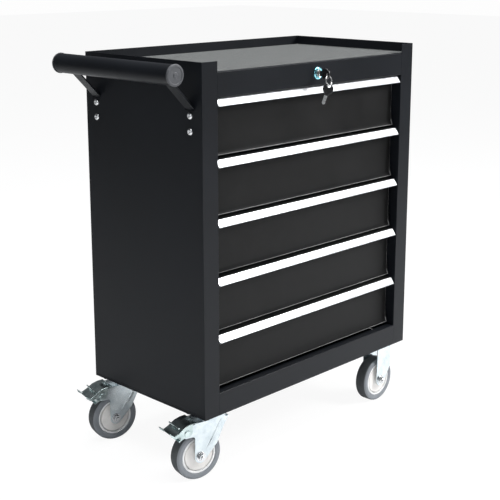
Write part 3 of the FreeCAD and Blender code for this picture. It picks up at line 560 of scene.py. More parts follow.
def ribTree():
    # straight ribs with a half-round top, set side by side along Y
    tree, given, out = geometryTree("ribRow", [
        ("Count", "Int"), ("Pitch", "Float"), ("Width", "Float"), ("Height", "Float"),
        ("Length", "Float"), ("Material", "Material"),
    ])
    start, end = (addNode(tree, "ShaderNodeCombineXYZ", {
        0: mathNode(tree, "MULTIPLY", given["Length"], share),
    }).outputs[0] for share in (-0.5, 0.5))
    line = addNode(tree, "GeometryNodeCurvePrimitiveLine", {"Start": start, "End": end})
    circle = addNode(tree, "GeometryNodeCurvePrimitiveCircle", {"Resolution": 8, "Radius": 0.5})
    section = addNode(tree, "ShaderNodeCombineXYZ", {0: given["Width"], 1: given["Height"], 2: 1.0})
    profile = addNode(tree, "GeometryNodeTransform", {"Geometry": circle.outputs[0], "Scale": section.outputs[0]})
    rib = addNode(tree, "GeometryNodeCurveToMesh", {
        "Curve": line.outputs[0], "Profile Curve": profile.outputs[0], "Fill Caps": True,
    })
    step = addNode(tree, "ShaderNodeCombineXYZ", {1: given["Pitch"]})
    row = addNode(tree, "GeometryNodeMeshLine", {"Count": given["Count"], "Offset": step.outputs[0]})
    placed = addNode(tree, "GeometryNodeInstanceOnPoints", {"Points": row.outputs[0], "Instance": rib.outputs[0]})
    joined = addNode(tree, "GeometryNodeJoinGeometry", {0: given["Geometry"]})
    tree.links.new(placed.outputs[0], joined.inputs[0])
    real = addNode(tree, "GeometryNodeRealizeInstances", {0: joined.outputs[0]})
    painted = addNode(tree, "GeometryNodeSetMaterial", {"Geometry": real.outputs[0], "Material": given["Material"]})
    tree.links.new(painted.outputs[0], out["Geometry"])
    return tree


def fastenerTree():
    # one part set on every point, facing along the point's own direction and turned at random
    tree, given, out = geometryTree("fastenerSet", [
        ("Part", "Object"), ("Turn", "Float"), ("Seed", "Int"), ("Material", "Material"),
    ])
    part = addNode(tree, "GeometryNodeObjectInfo", {"Object": given["Part"]})
    facing = addNode(tree, "GeometryNodeInputNamedAttribute", {"Name": "facing"}, data_type="FLOAT_VECTOR")
    aimed = addNode(tree, "FunctionNodeAlignRotationToVector", {"Vector": facing.outputs[0]}, axis="Z")
    chance = addNode(tree, "FunctionNodeRandomValue", {"Seed": given["Seed"]}, data_type="FLOAT")
    angle = mathNode(tree, "MULTIPLY", chance.outputs[1], given["Turn"])
    spin = addNode(tree, "FunctionNodeAxisAngleToRotation", {"Axis": (0, 0, 1), "Angle": angle})
    turned = addNode(tree, "FunctionNodeRotateRotation", {
        "Rotation": aimed.outputs[0], "Rotate By": spin.outputs[0],
    }, rotation_space="LOCAL")
    placed = addNode(tree, "GeometryNodeInstanceOnPoints", {
        "Points": given["Geometry"], "Instance": part.outputs["Geometry"], "Rotation": turned.outputs[0],
    })
    real = addNode(tree, "GeometryNodeRealizeInstances", {0: placed.outputs[0]})
    painted = addNode(tree, "GeometryNodeSetMaterial", {"Geometry": real.outputs[0], "Material": given["Material"]})
    tree.links.new(painted.outputs[0], out["Geometry"])
    return tree


trees = {"ribs": ribTree(), "fasteners": fastenerTree()}


def runTree(piece, tree, values):
    modifier = piece.modifiers.new("build", "NODES")
    modifier.node_group = tree
    for item in tree.interface.items_tree:
        if item.item_type == "SOCKET" and item.in_out == "INPUT" and item.name in values:
            modifier[item.identifier] = values[item.name]
    return plainMesh(piece)


def fasteners(name, part, points, direction, seed):
    mesh = bpy.data.meshes.new(name)
    mesh.from_pydata(points, [], [])
    facing = mesh.attributes.new("facing", "FLOAT_VECTOR", "POINT")
    facing.data.foreach_set("vector", direction * len(points))
    piece = linkedPiece(name, mesh)
    runTree(piece, trees["fasteners"], {
        "Part": part, "Turn": making["anyTurn"], "Seed": seed, "Material": finishes["boltNickel"],
    })
    bpy.data.objects.remove(part)
    return evenShading(piece)


def moved(piece, place):
    piece.data.transform(place)
    return piece


def joinedPiece(name, pieces):
    shape = bmesh.new()
    for piece in pieces:
        shape.from_mesh(piece.data)
        bpy.data.objects.remove(piece)
    mesh = bpy.data.meshes.new(name)
    shape.to_mesh(mesh)
    shape.free()
    return evenShading(linkedPiece(name, mesh))


print("node trees made:", len(trees))


# Cabinet

cabinet = {"foldRadius": 0.0016, "sheetEdge": 0.0005, "innerFold": 0.0012}
for node in ("left_side_panel", "right_side_panel", "back_panel", "base_pan", "top_rail", "top_tray"):
    refinedNode(node + "_skin", node, cabinet["foldRadius"], cabinet["sheetEdge"], "cabinetPaint")
refinedNode("rear_upright_channels", "rear_uprights", cabinet["innerFold"], cabinet["sheetEdge"], "innerPaint")
print("cabinet made")

mat = {"ribPitch": 0.0031, "ribWidth": 0.0019, "ribHeight": 0.0009, "margin": 0.002, "sheetRounding": 0.0008}


def makeMat():
    low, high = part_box("top_mat")
    count = int((high.y - low.y - 2 * mat["margin"]) / mat["ribPitch"])
    spread = (count - 1) * mat["ribPitch"]
    sunk = mat["ribHeight"] / 2
    origin = Vector(((low.x + high.x) / 2, (low.y + high.y - spread) / 2, high.z - sunk))
    base = refined("ribbed_mat", "top_mat", mat["sheetRounding"], mat["sheetRounding"])
    moved(base, Matrix.Translation((0, 0, -sunk)))
    moved(base, Matrix.Translation(-origin))
    runTree(base, trees["ribs"], {
        "Count": count, "Pitch": mat["ribPitch"], "Width": mat["ribWidth"], "Height": mat["ribHeight"],
        "Length": high.x - low.x - 2 * mat["margin"], "Material": finishes["matRubber"],
    })
    moved(base, Matrix.Translation(origin))
    return evenShading(base)


settleFor(makeMat(), "matRubber", "top_mat")
print("mat made")


# Drawers and slides

drawers = {
    "foldRadius": 0.0015, "sheetEdge": 0.0004, "edgeWidth": 0.0009, "pullRounding": 0.0009,
    "pullEdge": 0.0005, "lipShare": 0.88, "lipDepth": 0.012, "shadedTopFacing": 0.9,
}


def makePull(name):
    # the lip's rolled lower edge ends a little above the leg behind it
    pull = refined(name + "_handle", name + "_pull", drawers["pullRounding"], drawers["pullEdge"])
    low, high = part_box(name + "_pull")
    middle = low.y + drawers["lipDepth"]
    for vert in pull.data.vertices:
        if vert.co.y < middle:
            vert.co.z = high.z - (high.z - vert.co.z) * drawers["lipShare"]
    return pull


drawerNumbers = sorted(int(node.split("_")[1]) for node in bodyOf if node.endswith("_pull"))
for number in drawerNumbers:
    name = f"drawer_{number}"
    tray = refined(name + "_tray", name + "_box", drawers["foldRadius"], drawers["sheetEdge"])
    settleFor(markEdges(tray, drawers["edgeWidth"]), "drawerPaint", name + "_box")
    pull = settleFor(makePull(name), "pullAluminium", name + "_pull")
    # painted shade: the pull's upward faces take the dark drawer paint in place of the shade that falls on them
    paintFaces(pull, "drawerPaint", lambda normal: normal.z > drawers["shadedTopFacing"])
    keepNode(name + "_slides", "slideZinc")
    keepNode(name + "_ball_cages", "slideZinc")
keepNode("slide_outer_members", "slideZinc")
print("drawers made:", len(drawerNumbers))


# Push handle

handle = {
    "tubeWall": 0.0015, "mouthRounding": 0.0005, "tubeSegments": 128, "bracketRounding": 0.0007,
    "stemGap": 0.0001, "stemLength": 0.018, "stemTaper": 0.002, "stemRounding": 0.0005,
    "seatRounding": 0.0004, "plugRounding": 0.0016, "faceRing": 0.0145, "ringSlope": 0.001, "ringCrown": 0.0004,
    "faceStep": 0.0006, "faceRounding": 0.0003, "centreNib": 0.0042, "nibSlope": 0.0012, "nibHeight": 0.001,
    "nibRounding": 0.0006, "boltSegments": 36, "boltSteps": 3, "boltSeed": 11,
    # pan head with a hexagon socket: radius, height from its seat, rounding, sides
    "boltOutline": (
        (0, -0.0138), (0.003, -0.0138, 0.0005), (0.003, 0), (0.0065, 0, 0.0003), (0.0065, 0.0018, 0.0014),
        (0.00403, 0.00388, 0.0012), (0.003, 0.004), (0.0026, 0.0038, 0, 6), (0.0026, 0.0021, 0, 6), (0, 0.0016),
    ),
}
# the nuts of all bolts: radius, depth from the seat, rounding, sides
nutOutline = (
    (0.003, 0), (0.005104, 0), (0.0058, 0.0006, 0, 6), (0.0058, 0.0044, 0, 6), (0.005104, 0.005), (0.003, 0.005),
)


def makeTube():
    low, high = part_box("handle_tube")
    middle = middleOf(low, high)
    outer = (high.z - low.z) / 2
    inner = outer - handle["tubeWall"]
    length, soft = high.y - low.y, handle["mouthRounding"]
    shape = bmesh.new()
    turn(shape, [(outer, 0, soft), (outer, length, soft), (inner, length, soft), (inner, 0, soft)],
         axisPlace((middle.x, low.y, middle.z), (0, 1, 0)), handle["tubeSegments"])
    return pieceFrom(shape, "push_tube")


def makeEndPlugs():
    tubeLow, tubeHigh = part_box("handle_tube")
    low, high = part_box("handle_end_plugs")
    middle = middleOf(low, high)
    radius = (high.z - low.z) / 2
    stem = (tubeHigh.z - tubeLow.z) / 2 - handle["tubeWall"] - handle["stemGap"]
    inside, taper, soft = -handle["stemLength"], handle["stemTaper"], handle["stemRounding"]
    ring, nib, fine = handle["faceRing"], handle["centreNib"], handle["faceRounding"]
    shape = bmesh.new()
    for end, out, direction in ((tubeLow.y, tubeLow.y - low.y, -1), (tubeHigh.y, high.y - tubeHigh.y, 1)):
        flange = out - handle["nibHeight"]
        face = flange - handle["faceStep"]
        turn(shape, [
            (0, inside), (stem - taper / 2, inside, soft), (stem, inside + taper, soft), (stem, 0),
            (radius, 0, handle["seatRounding"]), (radius, flange, handle["plugRounding"]),
            (ring + handle["ringSlope"], flange + handle["ringCrown"], fine), (ring, face, fine),
            (nib + handle["nibSlope"], face + fine, handle["seatRounding"]),
            (nib, out, handle["nibRounding"]), (0, out),
        ], axisPlace((middle.x, end, middle.z), (0, direction, 0)))
    return pieceFrom(shape, "push_tube_ends")


def turnNut(shape, start, segments):
    turn(shape, [(radius, -start - depth, *sides) for radius, depth, *sides in nutOutline], Matrix(), segments)


def makeHandleBolts():
    # each bolt has its nut inside the panel
    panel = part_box("left_side_panel")[0].x
    boxes = islandBoxes("handle_bolts")
    bolts = [middleOf(*found) for found in boxes if found[0].x < panel - making["apart"]]
    nutStart = min(found[0].x for found in boxes if found[0].x > panel) - panel
    shape = bmesh.new()
    turn(shape, handle["boltOutline"], Matrix(), handle["boltSegments"], handle["boltSteps"])
    turnNut(shape, nutStart, handle["boltSegments"])
    part = pieceFrom(shape, "handleBoltPart", making["hexAngle"])
    points = [Vector((panel, middle.y, middle.z)) for middle in bolts]
    return fasteners("handle_bolt_set", part, points, (-1, 0, 0), handle["boltSeed"])


settleFor(makeTube(), "cabinetPaint", "handle_tube")
settleFor(makeEndPlugs(), "plugPlastic", "handle_end_plugs")
refinedNode("handle_bars", "handle_brackets", handle["bracketRounding"], handle["bracketRounding"], "cabinetPaint")
settleFor(makeHandleBolts(), "boltNickel", "handle_bolts")
print("handle made")


# Lock and keys

lock = {
    "edgeRounding": 0.0004, "boreGap": 0.00005, "barrelWall": 0.00235, "barrelRounding": 0.0004,
    "flangeRounding": 0.0003, "bezelRound": 0.0016, "bezelSlope": 0.0022, "lipWidth": 0.0016,
    "lipDrop": 0.0004, "lipRounding": 0.0005, "dish": 0.0012,
}
key = {
    "bowRadius": 0.0104, "bowThickness": 0.0046, "bowRounding": 0.0011, "bowHole": 0.0034, "bowPoints": 40,
    "holePoints": 28, "rimSteps": 2, "collarMargin": 0.0014, "collarReach": 0.003, "collarCorner": 0.001,
    "bladeThickness": 0.0019, "bladeHeight": 0.0068, "bladeLength": 0.024, "bladeRounding": 0.0002,
    "bladeInset": 0.003, "tipSlope": 0.003, "tipRise": 0.0002, "tipUnder": 0.0025, "cutStart": 0.0035,
    "uncut": 0.009, "cutMouth": 0.32, "cutFloor": 0.12, "cuts": (0.0009, 0.0024, 0.0013, 0.0028, 0.0016, 0.0007),
    "ridgeLow": 0.0039, "ridgeHigh": 0.0048, "ridgeShort": 0.002, "ridgeDepth": 0.0004, "ridgeRounding": 0.0001,
    "bowReach": 0.0035, "holeReach": 0.0062, "holeDrop": 0.002, "hangGap": 0.0001, "spareTilt": 18,
    "spareTwist": 40,
}
ring = {
    "wire": 0.00062, "loopGap": 0.00064, "radius": 0.0084, "tilt": 14, "play": 0.001, "steps": 144,
    "sides": 10, "wireStart": 1.1, "crossing": 14,
}


def makeBezel():
    low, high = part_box("lock_body")
    plugLow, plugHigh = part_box("lock_plug")
    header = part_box("top_rail")[0].y
    middle = middleOf(low, high)
    radius = (high.x - low.x) / 2
    bore = (plugHigh.x - plugLow.x) / 2 + lock["boreGap"]
    barrel = bore + lock["barrelWall"]
    front, back = header - low.y, header - high.y
    shape = bmesh.new()
    turn(shape, [
        (bore, back), (barrel, back, lock["barrelRounding"]), (barrel, 0),
        (radius, 0, lock["flangeRounding"]), (radius, front / 2, lock["bezelRound"]),
        (radius - lock["bezelSlope"], front, lock["bezelRound"]),
        (bore + lock["lipWidth"], front - lock["lipDrop"], lock["lipRounding"]), (bore, front - lock["dish"]),
    ], axisPlace((middle.x, header, middle.z), (0, -1, 0)))
    return pieceFrom(shape, "lock_bezel")


def flatPart(name, outlines, thickness, rounding, place):
    # a plate cut from closed outlines in the local XY plane, with rounded rims
    curve = bpy.data.curves.new(name, "CURVE")
    curve.dimensions = "2D"
    curve.fill_mode = "BOTH"
    curve.extrude = thickness / 2 - rounding
    curve.bevel_depth = rounding
    curve.bevel_resolution = key["rimSteps"]
    curve.offset = -rounding
    for outline in outlines:
        spline = curve.splines.new("POLY")
        spline.points.add(len(outline) - 1)
        spline.points.foreach_set("co", [value for x, y in outline for value in (x, y, 0, 1)])
        spline.use_cyclic_u = True
    plate = linkedPiece(name, curve)
    shape = bmesh.new()
    shape.from_mesh(bpy.data.meshes.new_from_object(plate))
    bpy.data.objects.remove(plate)
    bmesh.ops.remove_doubles(shape, verts=shape.verts, dist=making["weld"])
    bmesh.ops.transform(shape, matrix=place, verts=shape.verts)
    return pieceFrom(shape, name)


def circlePoints(x, y, radius, count, start=0.0, end=2 * math.pi):
    angles = [start + (end - start) * k / count for k in range(count)]
    return [(x + radius * math.cos(angle), y + radius * math.sin(angle)) for angle in angles]


def bowOutline():
    # a round head that runs into a short collar towards the blade, along +X
    radius, corner = key["bowRadius"], key["collarCorner"]
    collar = key["bladeHeight"] / 2 + key["collarMargin"]
    angle = math.asin(collar / radius)
    far = radius + key["collarReach"]
    head = circlePoints(0, 0, radius, key["bowPoints"], angle, 2 * math.pi - angle)
    return head + [(far - corner, -collar), (far, corner - collar), (far, collar - corner), (far - corner, collar)]


def bladeOutline(start):
    # an even back, a sloping tip and a row of cuts below
    half, end = key["bladeHeight"] / 2, start + key["bladeLength"]
    outline = [(start, half), (end - key["tipSlope"], half), (end, key["tipRise"]), (end - key["tipUnder"], -half)]
    step = (key["bladeLength"] - key["uncut"]) / len(key["cuts"])
    mouth, floor = step * key["cutMouth"], step * key["cutFloor"]
    for index, depth in enumerate(key["cuts"]):
        middle = end - key["cutStart"] - (index + 0.5) * step
        outline += [(middle + mouth, -half), (middle + floor, depth - half),
                    (middle - floor, depth - half), (middle - mouth, -half)]
    return outline + [(start, -half)]


def keyParts(name, place, holeDrop, bladeStart):
    hole = circlePoints(-key["holeReach"], -holeDrop, key["bowHole"], key["holePoints"])
    bow = flatPart(name + "_bow", [bowOutline(), hole], key["bowThickness"], key["bowRounding"], place)
    blade = flatPart(name + "_blade", [bladeOutline(bladeStart)], key["bladeThickness"], key["bladeRounding"], place)
    return bow, blade


def withRidges(name, blade, start, place):
    # a long ridge stands on each face of the blade
    end = start + key["bladeLength"] - key["tipSlope"] - key["ridgeShort"]
    low, high = (height - key["bladeHeight"] / 2 for height in (key["ridgeLow"], key["ridgeHigh"]))
    ridge = [(start, high), (end, high), (end, low), (start, low)]
    pieces = [blade]
    for side in (-1, 1):
        face = place @ Matrix.Translation((0, 0, side * key["bladeThickness"] / 2))
        pieces.append(flatPart("ridge", [ridge], key["ridgeDepth"], key["ridgeRounding"], face))
    return joinedPiece(name, pieces)


def ringPlace():
    # where the ring's wire passes through the key's bow, and how the ring leans from there
    low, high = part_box("key")
    plugMiddle = middleOf(*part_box("lock_plug"))
    bowCentre = Vector(((low.x + high.x) / 2, low.y + key["bowRadius"] - key["bowReach"], plugMiddle.z))
    hole = bowCentre - Vector((0, key["holeReach"], key["holeDrop"]))
    wire = hole - Vector((0, 0, key["bowHole"] - ring["wire"] - ring["play"]))
    lean = Matrix.Rotation(-math.radians(ring["tilt"]), 4, "X")
    return bowCentre, Matrix.Translation(wire) @ lean


def makeRing():
    # a split ring: one wire wound twice, its two turns side by side
    place = ringPlace()[1]
    centre, sideways = Vector((0, 0, -ring["radius"])), Vector((0, 1, 0))
    steps, sides = ring["steps"], ring["sides"]
    shape = bmesh.new()
    loops = []
    for k in range(steps + 1):
        angle = 4 * math.pi * k / steps + ring["wireStart"]
        offset = ring["loopGap"] * math.tanh((k / steps - 0.5) * ring["crossing"])
        out = Vector((math.cos(angle), 0, math.sin(angle)))
        middle = centre + out * ring["radius"] + offset * sideways
        loops.append([shape.verts.new(place @ (middle + across * out + along * sideways))
                      for across, along in circlePoints(0, 0, ring["wire"], sides)])
    for first, second in zip(loops, loops[1:]):
        for n in range(sides):
            following = (n + 1) % sides
            shape.faces.new((first[n], first[following], second[following], second[n]))
    shape.faces.new(loops[0])
    shape.faces.new(loops[-1])
    return pieceFrom(shape, "split_ring")


def makeKeys():
    bowCentre, hanging = ringPlace()
    # the key in the lock: blade along +Y, flat face across X
    upright = Matrix(((0, 0, 1), (1, 0, 0), (0, 1, 0))).to_4x4()
    parts = keyParts("lock_key", Matrix.Translation(bowCentre) @ upright, key["holeDrop"],
                     key["bowRadius"] + key["bladeInset"])
    for piece, finish in zip(parts, ("keyPlastic", "keySteel")):
        settleFor(piece, finish, "key")
    # the spare key hangs from the bottom of the ring with its blade downwards
    bottom = hanging @ Vector((0, 0, -2 * ring["radius"]))
    down = Matrix(((0, 0, 1), (0, 1, 0), (-1, 0, 0))).to_4x4()
    tilt = Matrix.Rotation(math.radians(key["spareTilt"]), 4, "Z")
    twist = Matrix.Rotation(math.radians(key["spareTwist"]), 4, "Z")
    hang = Matrix.Translation((key["holeReach"] + key["bowHole"] - ring["wire"] - key["hangGap"], 0, 0))
    place = Matrix.Translation(bottom) @ twist @ down @ tilt @ hang
    start = key["bowRadius"] - key["bladeInset"]
    bow, blade = keyParts("spare_key", place, 0, start)
    settle(bow, "keyPlastic", "key_ring", slotOf["key"])
    settle(withRidges("spare_key_blade_cut", blade, start, place), "keySteel", "key_ring", slotOf["key"])


settleFor(makeBezel(), "lockChrome", "lock_body")
for name, node, finish in (("lock_core", "lock_plug", "lockBrass"), ("lock_fixing_nut", "lock_nut", "boltNickel"),
                           ("lock_turning_rod", "lock_rod", "slideZinc"), ("lock_hook_bar", "lock_bar", "innerPaint")):
    refinedNode(name, node, lock["edgeRounding"], lock["edgeRounding"], finish)
makeKeys()
settleFor(makeRing(), "keySteel", "key_ring")
print("lock and keys made")


# Casters

caster = {
    "plateRounding": 0.0006, "forkRounding": 0.0005, "pedalRounding": 0.0009, "sheetEdge": 0.0004,
    "cheek": 0.0205, "ribRise": 0.0013, "ribSunk": 0.0003, "ribTop": 0.35,
    "turningRib": ((-0.011, 0.1185, 0.003), (-0.004, 0.106, 0.005), (0.013, 0.079, 0.005), (0.025, 0.063, 0.002)),
    "straightRib": ((0.012, 0.129, 0.003), (0.012, 0.12, 0.006), (0.006, 0.08, 0.005), (0.001, 0.064, 0.002)),
    # hexagon head: radius, height from its seat, rounding, sides
    "boltOutline": ((0, 0.004), (0.004988, 0.004), (0.0058, 0.0034, 0, 6), (0.0058, 0.0004, 0, 6),
                    (0.00522, 0), (0.003, 0)),
    "boltHeight": 0.004, "boltShank": 0.003, "boltTip": 0.0005, "boltSegments": 24, "boltSeed": 5,
}
pedal = {
    "ribCount": 3, "ribPitch": 0.0068, "ribWidth": 0.003, "ribHeight": 0.0032, "ribLength": 0.037,
    "ribReach": 0.0788, "ribLevel": 0.1142, "padRun": -0.014, "padRise": 0.009,
}
# radius, distance from the wheel's middle, rounding, sides
axle = {
    "segments": 48, "threadEnd": 0.0022,
    "sleeve": ((0, 0.022), (0.004, 0.022), (0.004, 0.018), (0.006, 0.018, 0.0003)),
    "hexagon": ((0, 0.0205), (0.01, 0.0205, 0.0003), (0.01, 0.022, 0.0004), (0.006975, 0.022),
                (0.0075, 0.0225, 0, 6), (0.0075, 0.0268, 0, 6), (0.00645, 0.0275), (0.0046, 0.0275), (0.004, 0.0269)),
    "thread": ((0.004, 0.0269), (0.0033, 0.0275), (0, 0.0275)),
}
wheel = {
    "segments": 128, "tyreSteps": 5, "shadedTreadFacing": 0.55,
    "tyreSide": ((0.0363, 0.0122), (0.0374, 0.0131, 0.0003), (0.0383, 0.0139, 0.0004), (0.0443, 0.0145, 0.002),
                 (0.0474, 0.0129, 0.0016)),
    # depth below the tread in place of the radius
    "tyreTread": ((0.0002, 0.0102, 0.002), (0.0001, 0.0004), (0, 0.0002)),
    "rim": ((0.00605, 0.0176), (0.009, 0.0176, 0.0004), (0.009, 0.0062), (0.0316, 0.0062),
            (0.0322, 0.0072, 0.0003), (0.0326, 0.0122, 0.0006), (0.0332, 0.013, 0.0005), (0.0356, 0.013, 0.0006),
            (0.0365, 0.0122)),
    "cover": ((0.0091, 0.0072), (0.0297, 0.0072), (0.0303, 0.0078), (0.0303, 0.0119, 0.0007),
              (0.0283, 0.0122, 0.0006), (0.0165, 0.0132, 0.001), (0.0125, 0.0135, 0.0006),
              (0.0116, 0.0151, 0.0008), (0.0091, 0.0153, 0.0004)),
}


def towards(side, outline, extra=0.0):
    return [(radius, side * (along + extra), *rest) for radius, along, *rest in outline]


def bothSides(half):
    return towards(1, half) + towards(-1, half[::-1])


def makeCasterBolts():
    boxes = islandBoxes("caster_bolts")
    low = min(found[0].z for found in boxes)
    bolts = [found for found in boxes if abs(found[0].z - low) < making["apart"]]
    nuts = [found for found in boxes if abs(found[0].z - low) >= making["apart"]]
    seat = low + caster["boltHeight"]
    tip = seat - max(found[1].z for found in bolts)
    shank, chamfer = caster["boltShank"], caster["boltTip"]
    shape = bmesh.new()
    turn(shape, [*caster["boltOutline"], (shank, tip + chamfer), (shank - chamfer, tip), (0, tip)],
         Matrix(), caster["boltSegments"])
    turnNut(shape, min(found[0].z for found in nuts) - seat, caster["boltSegments"])
    part = pieceFrom(shape, "casterBoltPart", making["hexAngle"])
    middles = [middleOf(*found) for found in bolts]
    points = [Vector((middle.x, middle.y, seat)) for middle in middles]
    return fasteners("caster_bolt_set", part, points, (0, 0, -1), caster["boltSeed"])


def turnAxle(shape, place):
    # sleeve between the cheeks, then on each side a washer and a hexagon
    turn(shape, bothSides(axle["sleeve"]), place, axle["segments"])
    for side, threadEnd in ((-1, 0.0), (1, axle["threadEnd"])):
        turn(shape, towards(side, axle["hexagon"]) + towards(side, axle["thread"], threadEnd),
             place, axle["segments"])


def makeWheel(name, kind):
    joint = joints[kind + "_wheel_spin"]
    nodeWheel, nodeTyre = kind + "_wheel", kind + "_tyre"
    place = axisPlace(joint["pos_m"], joint["axis"])
    low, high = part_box(nodeTyre)
    outer = (high.z - low.z) / 2
    half = [*wheel["tyreSide"], *[(outer - depth, *rest) for depth, *rest in wheel["tyreTread"]]]
    shape = bmesh.new()
    turn(shape, bothSides(half), place, wheel["segments"], wheel["tyreSteps"])
    tread = settleFor(pieceFrom(shape, name + "_tread"), "tyreRubber", nodeTyre)
    axis = Vector(joint["axis"]).normalized()
    # painted shade: the tread faces take a darker copy of the tyre rubber, standing in for the shade on the tread
    paintFaces(tread, "treadRubber", lambda normal: abs(normal.dot(axis)) < wheel["shadedTreadFacing"])
    shape = bmesh.new()
    turn(shape, bothSides(wheel["rim"]), place, wheel["segments"])
    settleFor(pieceFrom(shape, name + "_rim"), "wheelRim", nodeWheel)
    shape = bmesh.new()
    for side in (-1, 1):
        turn(shape, towards(side, wheel["cover"]), place, wheel["segments"])
    settle(pieceFrom(shape, name + "_covers"), "wheelCover", bodyOf[nodeWheel], slotOf[nodeWheel])


def casterPlace(end):
    # local X from the swivel towards the wheel, local Y across it, heights from the floor
    pivot = Vector(joints[end + "_swivel"]["pos_m"])
    reach = Vector(joints[end + "_swivel_wheel_spin"]["pos_m"]) - pivot
    reach.z = 0
    along = reach.normalized()
    across = Vector((0, 0, 1)).cross(along)
    turned = Matrix((along, across, Vector((0, 0, 1)))).transposed().to_4x4()
    return Matrix.Translation((pivot.x, pivot.y, 0)) @ turned


def makePedal(end):
    # ribs across the sloping pad
    plate = refined(end + "_pedal_plate", end + "_brake_pedal", caster["pedalRounding"], caster["sheetEdge"])
    ribs = linkedPiece("ribs", bpy.data.meshes.new("ribs"))
    runTree(ribs, trees["ribs"], {
        "Count": pedal["ribCount"], "Pitch": pedal["ribPitch"], "Width": pedal["ribWidth"],
        "Height": pedal["ribHeight"], "Length": pedal["ribLength"], "Material": finishes["pedalZinc"],
    })
    slope = math.pi - math.atan2(pedal["padRise"], pedal["padRun"])
    spread = (pedal["ribCount"] - 1) * pedal["ribPitch"] / 2
    lay = Matrix.Translation((pedal["ribReach"], 0, pedal["ribLevel"])) @ Matrix.Rotation(-slope, 4, "Y")
    lay = lay @ Matrix.Rotation(math.pi / 2, 4, "Z") @ Matrix.Translation((0, -spread, 0))
    moved(ribs, casterPlace(end) @ lay)
    return joinedPiece(end + "_foot_pedal", [plate, ribs])


def pressedRibs(name, place, path):
    # a stiffening ridge down the outside of each cheek, given as (reach, height, half width)
    widest = path[1][2]
    shape = bmesh.new()
    for side in (-1, 1):
        flat = side * (caster["cheek"] - caster["ribSunk"])
        rows = []
        for reach, height, half in path:
            rise, top = side * caster["ribRise"] * min(1, half / widest), half * caster["ribTop"]
            rows.append([shape.verts.new(place @ Vector((reach + offset, flat + lift, height)))
                         for offset, lift in ((-half, 0), (-top, rise), (top, rise), (half, 0))])
        for first, second in zip(rows, rows[1:]):
            for k in range(4):
                n = (k + 1) % 4
                shape.faces.new((first[k], first[n], second[n], second[k]))
        shape.faces.new(rows[0])
        shape.faces.new(rows[-1])
    return pieceFrom(shape, name, making["ribAngle"])


def settleRibs(name, place, path, fork):
    settle(pressedRibs(name, place, path), "casterZinc", bodyOf[fork], slotOf[fork])


straightAxles = bmesh.new()
for end in ("front", "rear"):
    fork, spin = end + "_swivel_fork", joints[end + "_swivel_wheel_spin"]
    refinedNode(end + "_turning_fork", fork, caster["forkRounding"], caster["sheetEdge"], "casterZinc")
    settleRibs(end + "_turning_fork_ribs", casterPlace(end), caster["turningRib"], fork)
    fixedAt = Vector(joints[end + "_fixed_wheel_spin"]["pos_m"])
    settleRibs(end + "_straight_fork_ribs", Matrix.Translation((fixedAt.x, fixedAt.y, 0)),
               caster["straightRib"], "fixed_caster_forks")
    settleFor(makePedal(end), "pedalZinc", end + "_brake_pedal")
    shape = bmesh.new()
    turnAxle(shape, axisPlace(spin["pos_m"], spin["axis"]))
    settleFor(pieceFrom(shape, end + "_turning_axle", making["hexAngle"]), "boltNickel", end + "_swivel_axle")
    makeWheel(end + "_turning_wheel", end + "_swivel")
    makeWheel(end + "_straight_wheel", end + "_fixed")
    turnAxle(straightAxles, axisPlace(fixedAt, (0, -1, 0)))
settleFor(pieceFrom(straightAxles, "straight_axles", making["hexAngle"]), "boltNickel", "fixed_caster_axles")
for name, node in (("turning_plates", "swivel_caster_plates"), ("straight_forks", "fixed_caster_forks")):
    refinedNode(name, node, caster["plateRounding"], caster["sheetEdge"], "casterZinc")
settleFor(makeCasterBolts(), "boltNickel", "caster_bolts")
print("casters made")


# Floor, light and camera

studio = {
    "floorSize": 30.0, "floorColour": (0.86, 0.865, 0.87), "floorGlow": 1.07, "floorShare": 0.87,
    "paperScale": 3.0, "paperRoughness": (0.6, 0.7), "paperSpecular": 0.1,
    "room": (0.13, 0.135, 0.14), "roomStrength": 1.0, "backdrop": 0.985,
}
lights = [
    # name, place, aimed at, width, height, power, colour
    ("frontSoftbox", (1.8, -2.0, 2.1), (0.0, 0.0, 0.45), 0.8, 1.0, 80.0, (1.0, 1.0, 1.0)),
    ("topSoftbox", (0.0, -0.3, 3.0), (0.0, 0.0, 0.4), 2.6, 2.2, 115.0, (0.98, 0.99, 1.0)),
    ("leftStrip", (-2.4, -1.2, 1.6), (0.0, 0.0, 0.4), 0.7, 1.8, 7.0, (0.94, 0.97, 1.0)),
]
view = {
    "centre": (0.03975, 0.0135, 0.134), "azimuth": 45.69, "elevation": 12.894, "distance": 2.34198,
    "across": 0.01337, "up": -0.329727, "lens": 77.63, "sensor": 36.0, "shiftY": -0.09,
}


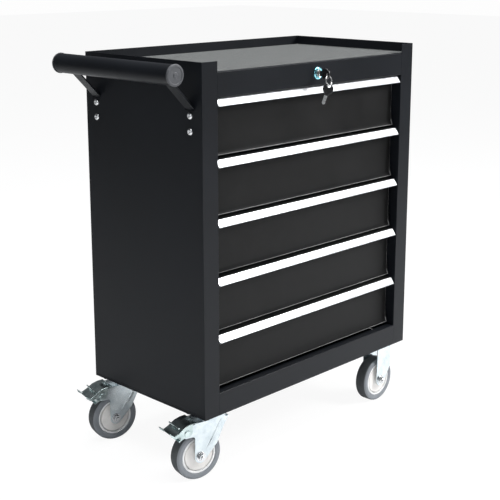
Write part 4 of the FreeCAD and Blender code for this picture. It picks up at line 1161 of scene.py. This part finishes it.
def makeFloor():
    level = cadBounds[0].z
    half = studio["floorSize"] / 2
    mesh = bpy.data.meshes.new("studio_floor")
    corners = [(x * half, y * half, level) for x, y in ((-1, -1), (1, -1), (1, 1), (-1, 1))]
    mesh.from_pydata(corners, [], [(0, 1, 2, 3)])
    floor = linkedPiece("studio_floor", mesh)
    paper = bpy.data.materials.new("studioPaper")
    paper.use_nodes = True
    tree = paper.node_tree
    tree.nodes.clear()
    place = addNode(tree, "ShaderNodeTexCoord").outputs["Object"]
    noise = addNode(tree, "ShaderNodeTexNoise", {"Vector": place, "Scale": studio["paperScale"], "Detail": 3.0})
    low, high = studio["paperRoughness"]
    tone = addNode(tree, "ShaderNodeMapRange", {"Value": noise.outputs["Fac"], "To Min": low, "To Max": high})
    cast = addNode(tree, "ShaderNodeBsdfPrincipled", {
        "Base Color": (*studio["floorColour"], 1), "Roughness": tone.outputs[0],
        "Specular IOR Level": studio["paperSpecular"],
    })
    glow = addNode(tree, "ShaderNodeEmission", {"Color": (1, 1, 1, 1), "Strength": studio["floorGlow"]})
    lightPath = addNode(tree, "ShaderNodeLightPath")
    share = mathNode(tree, "MULTIPLY", lightPath.outputs["Is Camera Ray"], studio["floorShare"])
    mixed = addNode(tree, "ShaderNodeMixShader", {0: share, 1: cast.outputs[0], 2: glow.outputs[0]})
    output = tree.nodes.new("ShaderNodeOutputMaterial")
    tree.links.new(mixed.outputs[0], output.inputs[0])
    mesh.materials.append(paper)


def makeRoom():
    world = bpy.data.worlds.new("studioRoom")
    world.use_nodes = True
    tree = world.node_tree
    tree.nodes.clear()
    lightPath = addNode(tree, "ShaderNodeLightPath")
    dim = addNode(tree, "ShaderNodeBackground", {
        "Color": (*studio["room"], 1), "Strength": studio["roomStrength"],
    })
    white = addNode(tree, "ShaderNodeBackground", {"Color": (1, 1, 1, 1), "Strength": studio["backdrop"]})
    mixed = addNode(tree, "ShaderNodeMixShader", {
        0: lightPath.outputs["Is Camera Ray"], 1: dim.outputs[0], 2: white.outputs[0],
    })
    output = tree.nodes.new("ShaderNodeOutputWorld")
    tree.links.new(mixed.outputs[0], output.inputs[0])
    bpy.context.scene.world = world


def makeLights():
    for name, place, target, width, height, power, colour in lights:
        data = bpy.data.lights.new(name, "AREA")
        data.shape = "RECTANGLE"
        data.size = width
        data.size_y = height
        data.energy = power
        data.color = colour
        lamp = bpy.data.objects.new(name, data)
        lamp.location = place
        aim = Vector(target) - Vector(place)
        lamp.rotation_euler = aim.to_track_quat("-Z", "Y").to_euler()
        bpy.context.scene.collection.objects.link(lamp)


def makeCamera():
    azimuth, elevation = math.radians(view["azimuth"]), math.radians(view["elevation"])
    back = Vector((-math.sin(azimuth) * math.cos(elevation), -math.cos(azimuth) * math.cos(elevation),
                   math.sin(elevation)))
    right = Vector((math.cos(azimuth), -math.sin(azimuth), 0))
    up = back.cross(right)
    data = bpy.data.cameras.new("camera")
    data.sensor_width = view["sensor"]
    data.lens = view["lens"]
    data.shift_y = view["shiftY"]
    camera = bpy.data.objects.new("camera", data)
    rotation = Matrix((right, up, back)).transposed().to_4x4()
    place = Vector(view["centre"]) - right * view["across"] - up * view["up"] + back * view["distance"]
    camera.matrix_world = Matrix.Translation(place) @ rotation
    bpy.context.scene.collection.objects.link(camera)
    bpy.context.scene.camera = camera


makeFloor()
makeRoom()
makeLights()
makeCamera()
bpy.context.scene.view_settings.view_transform = "Standard"
bpy.context.scene.view_settings.look = "None"
print("studio made")
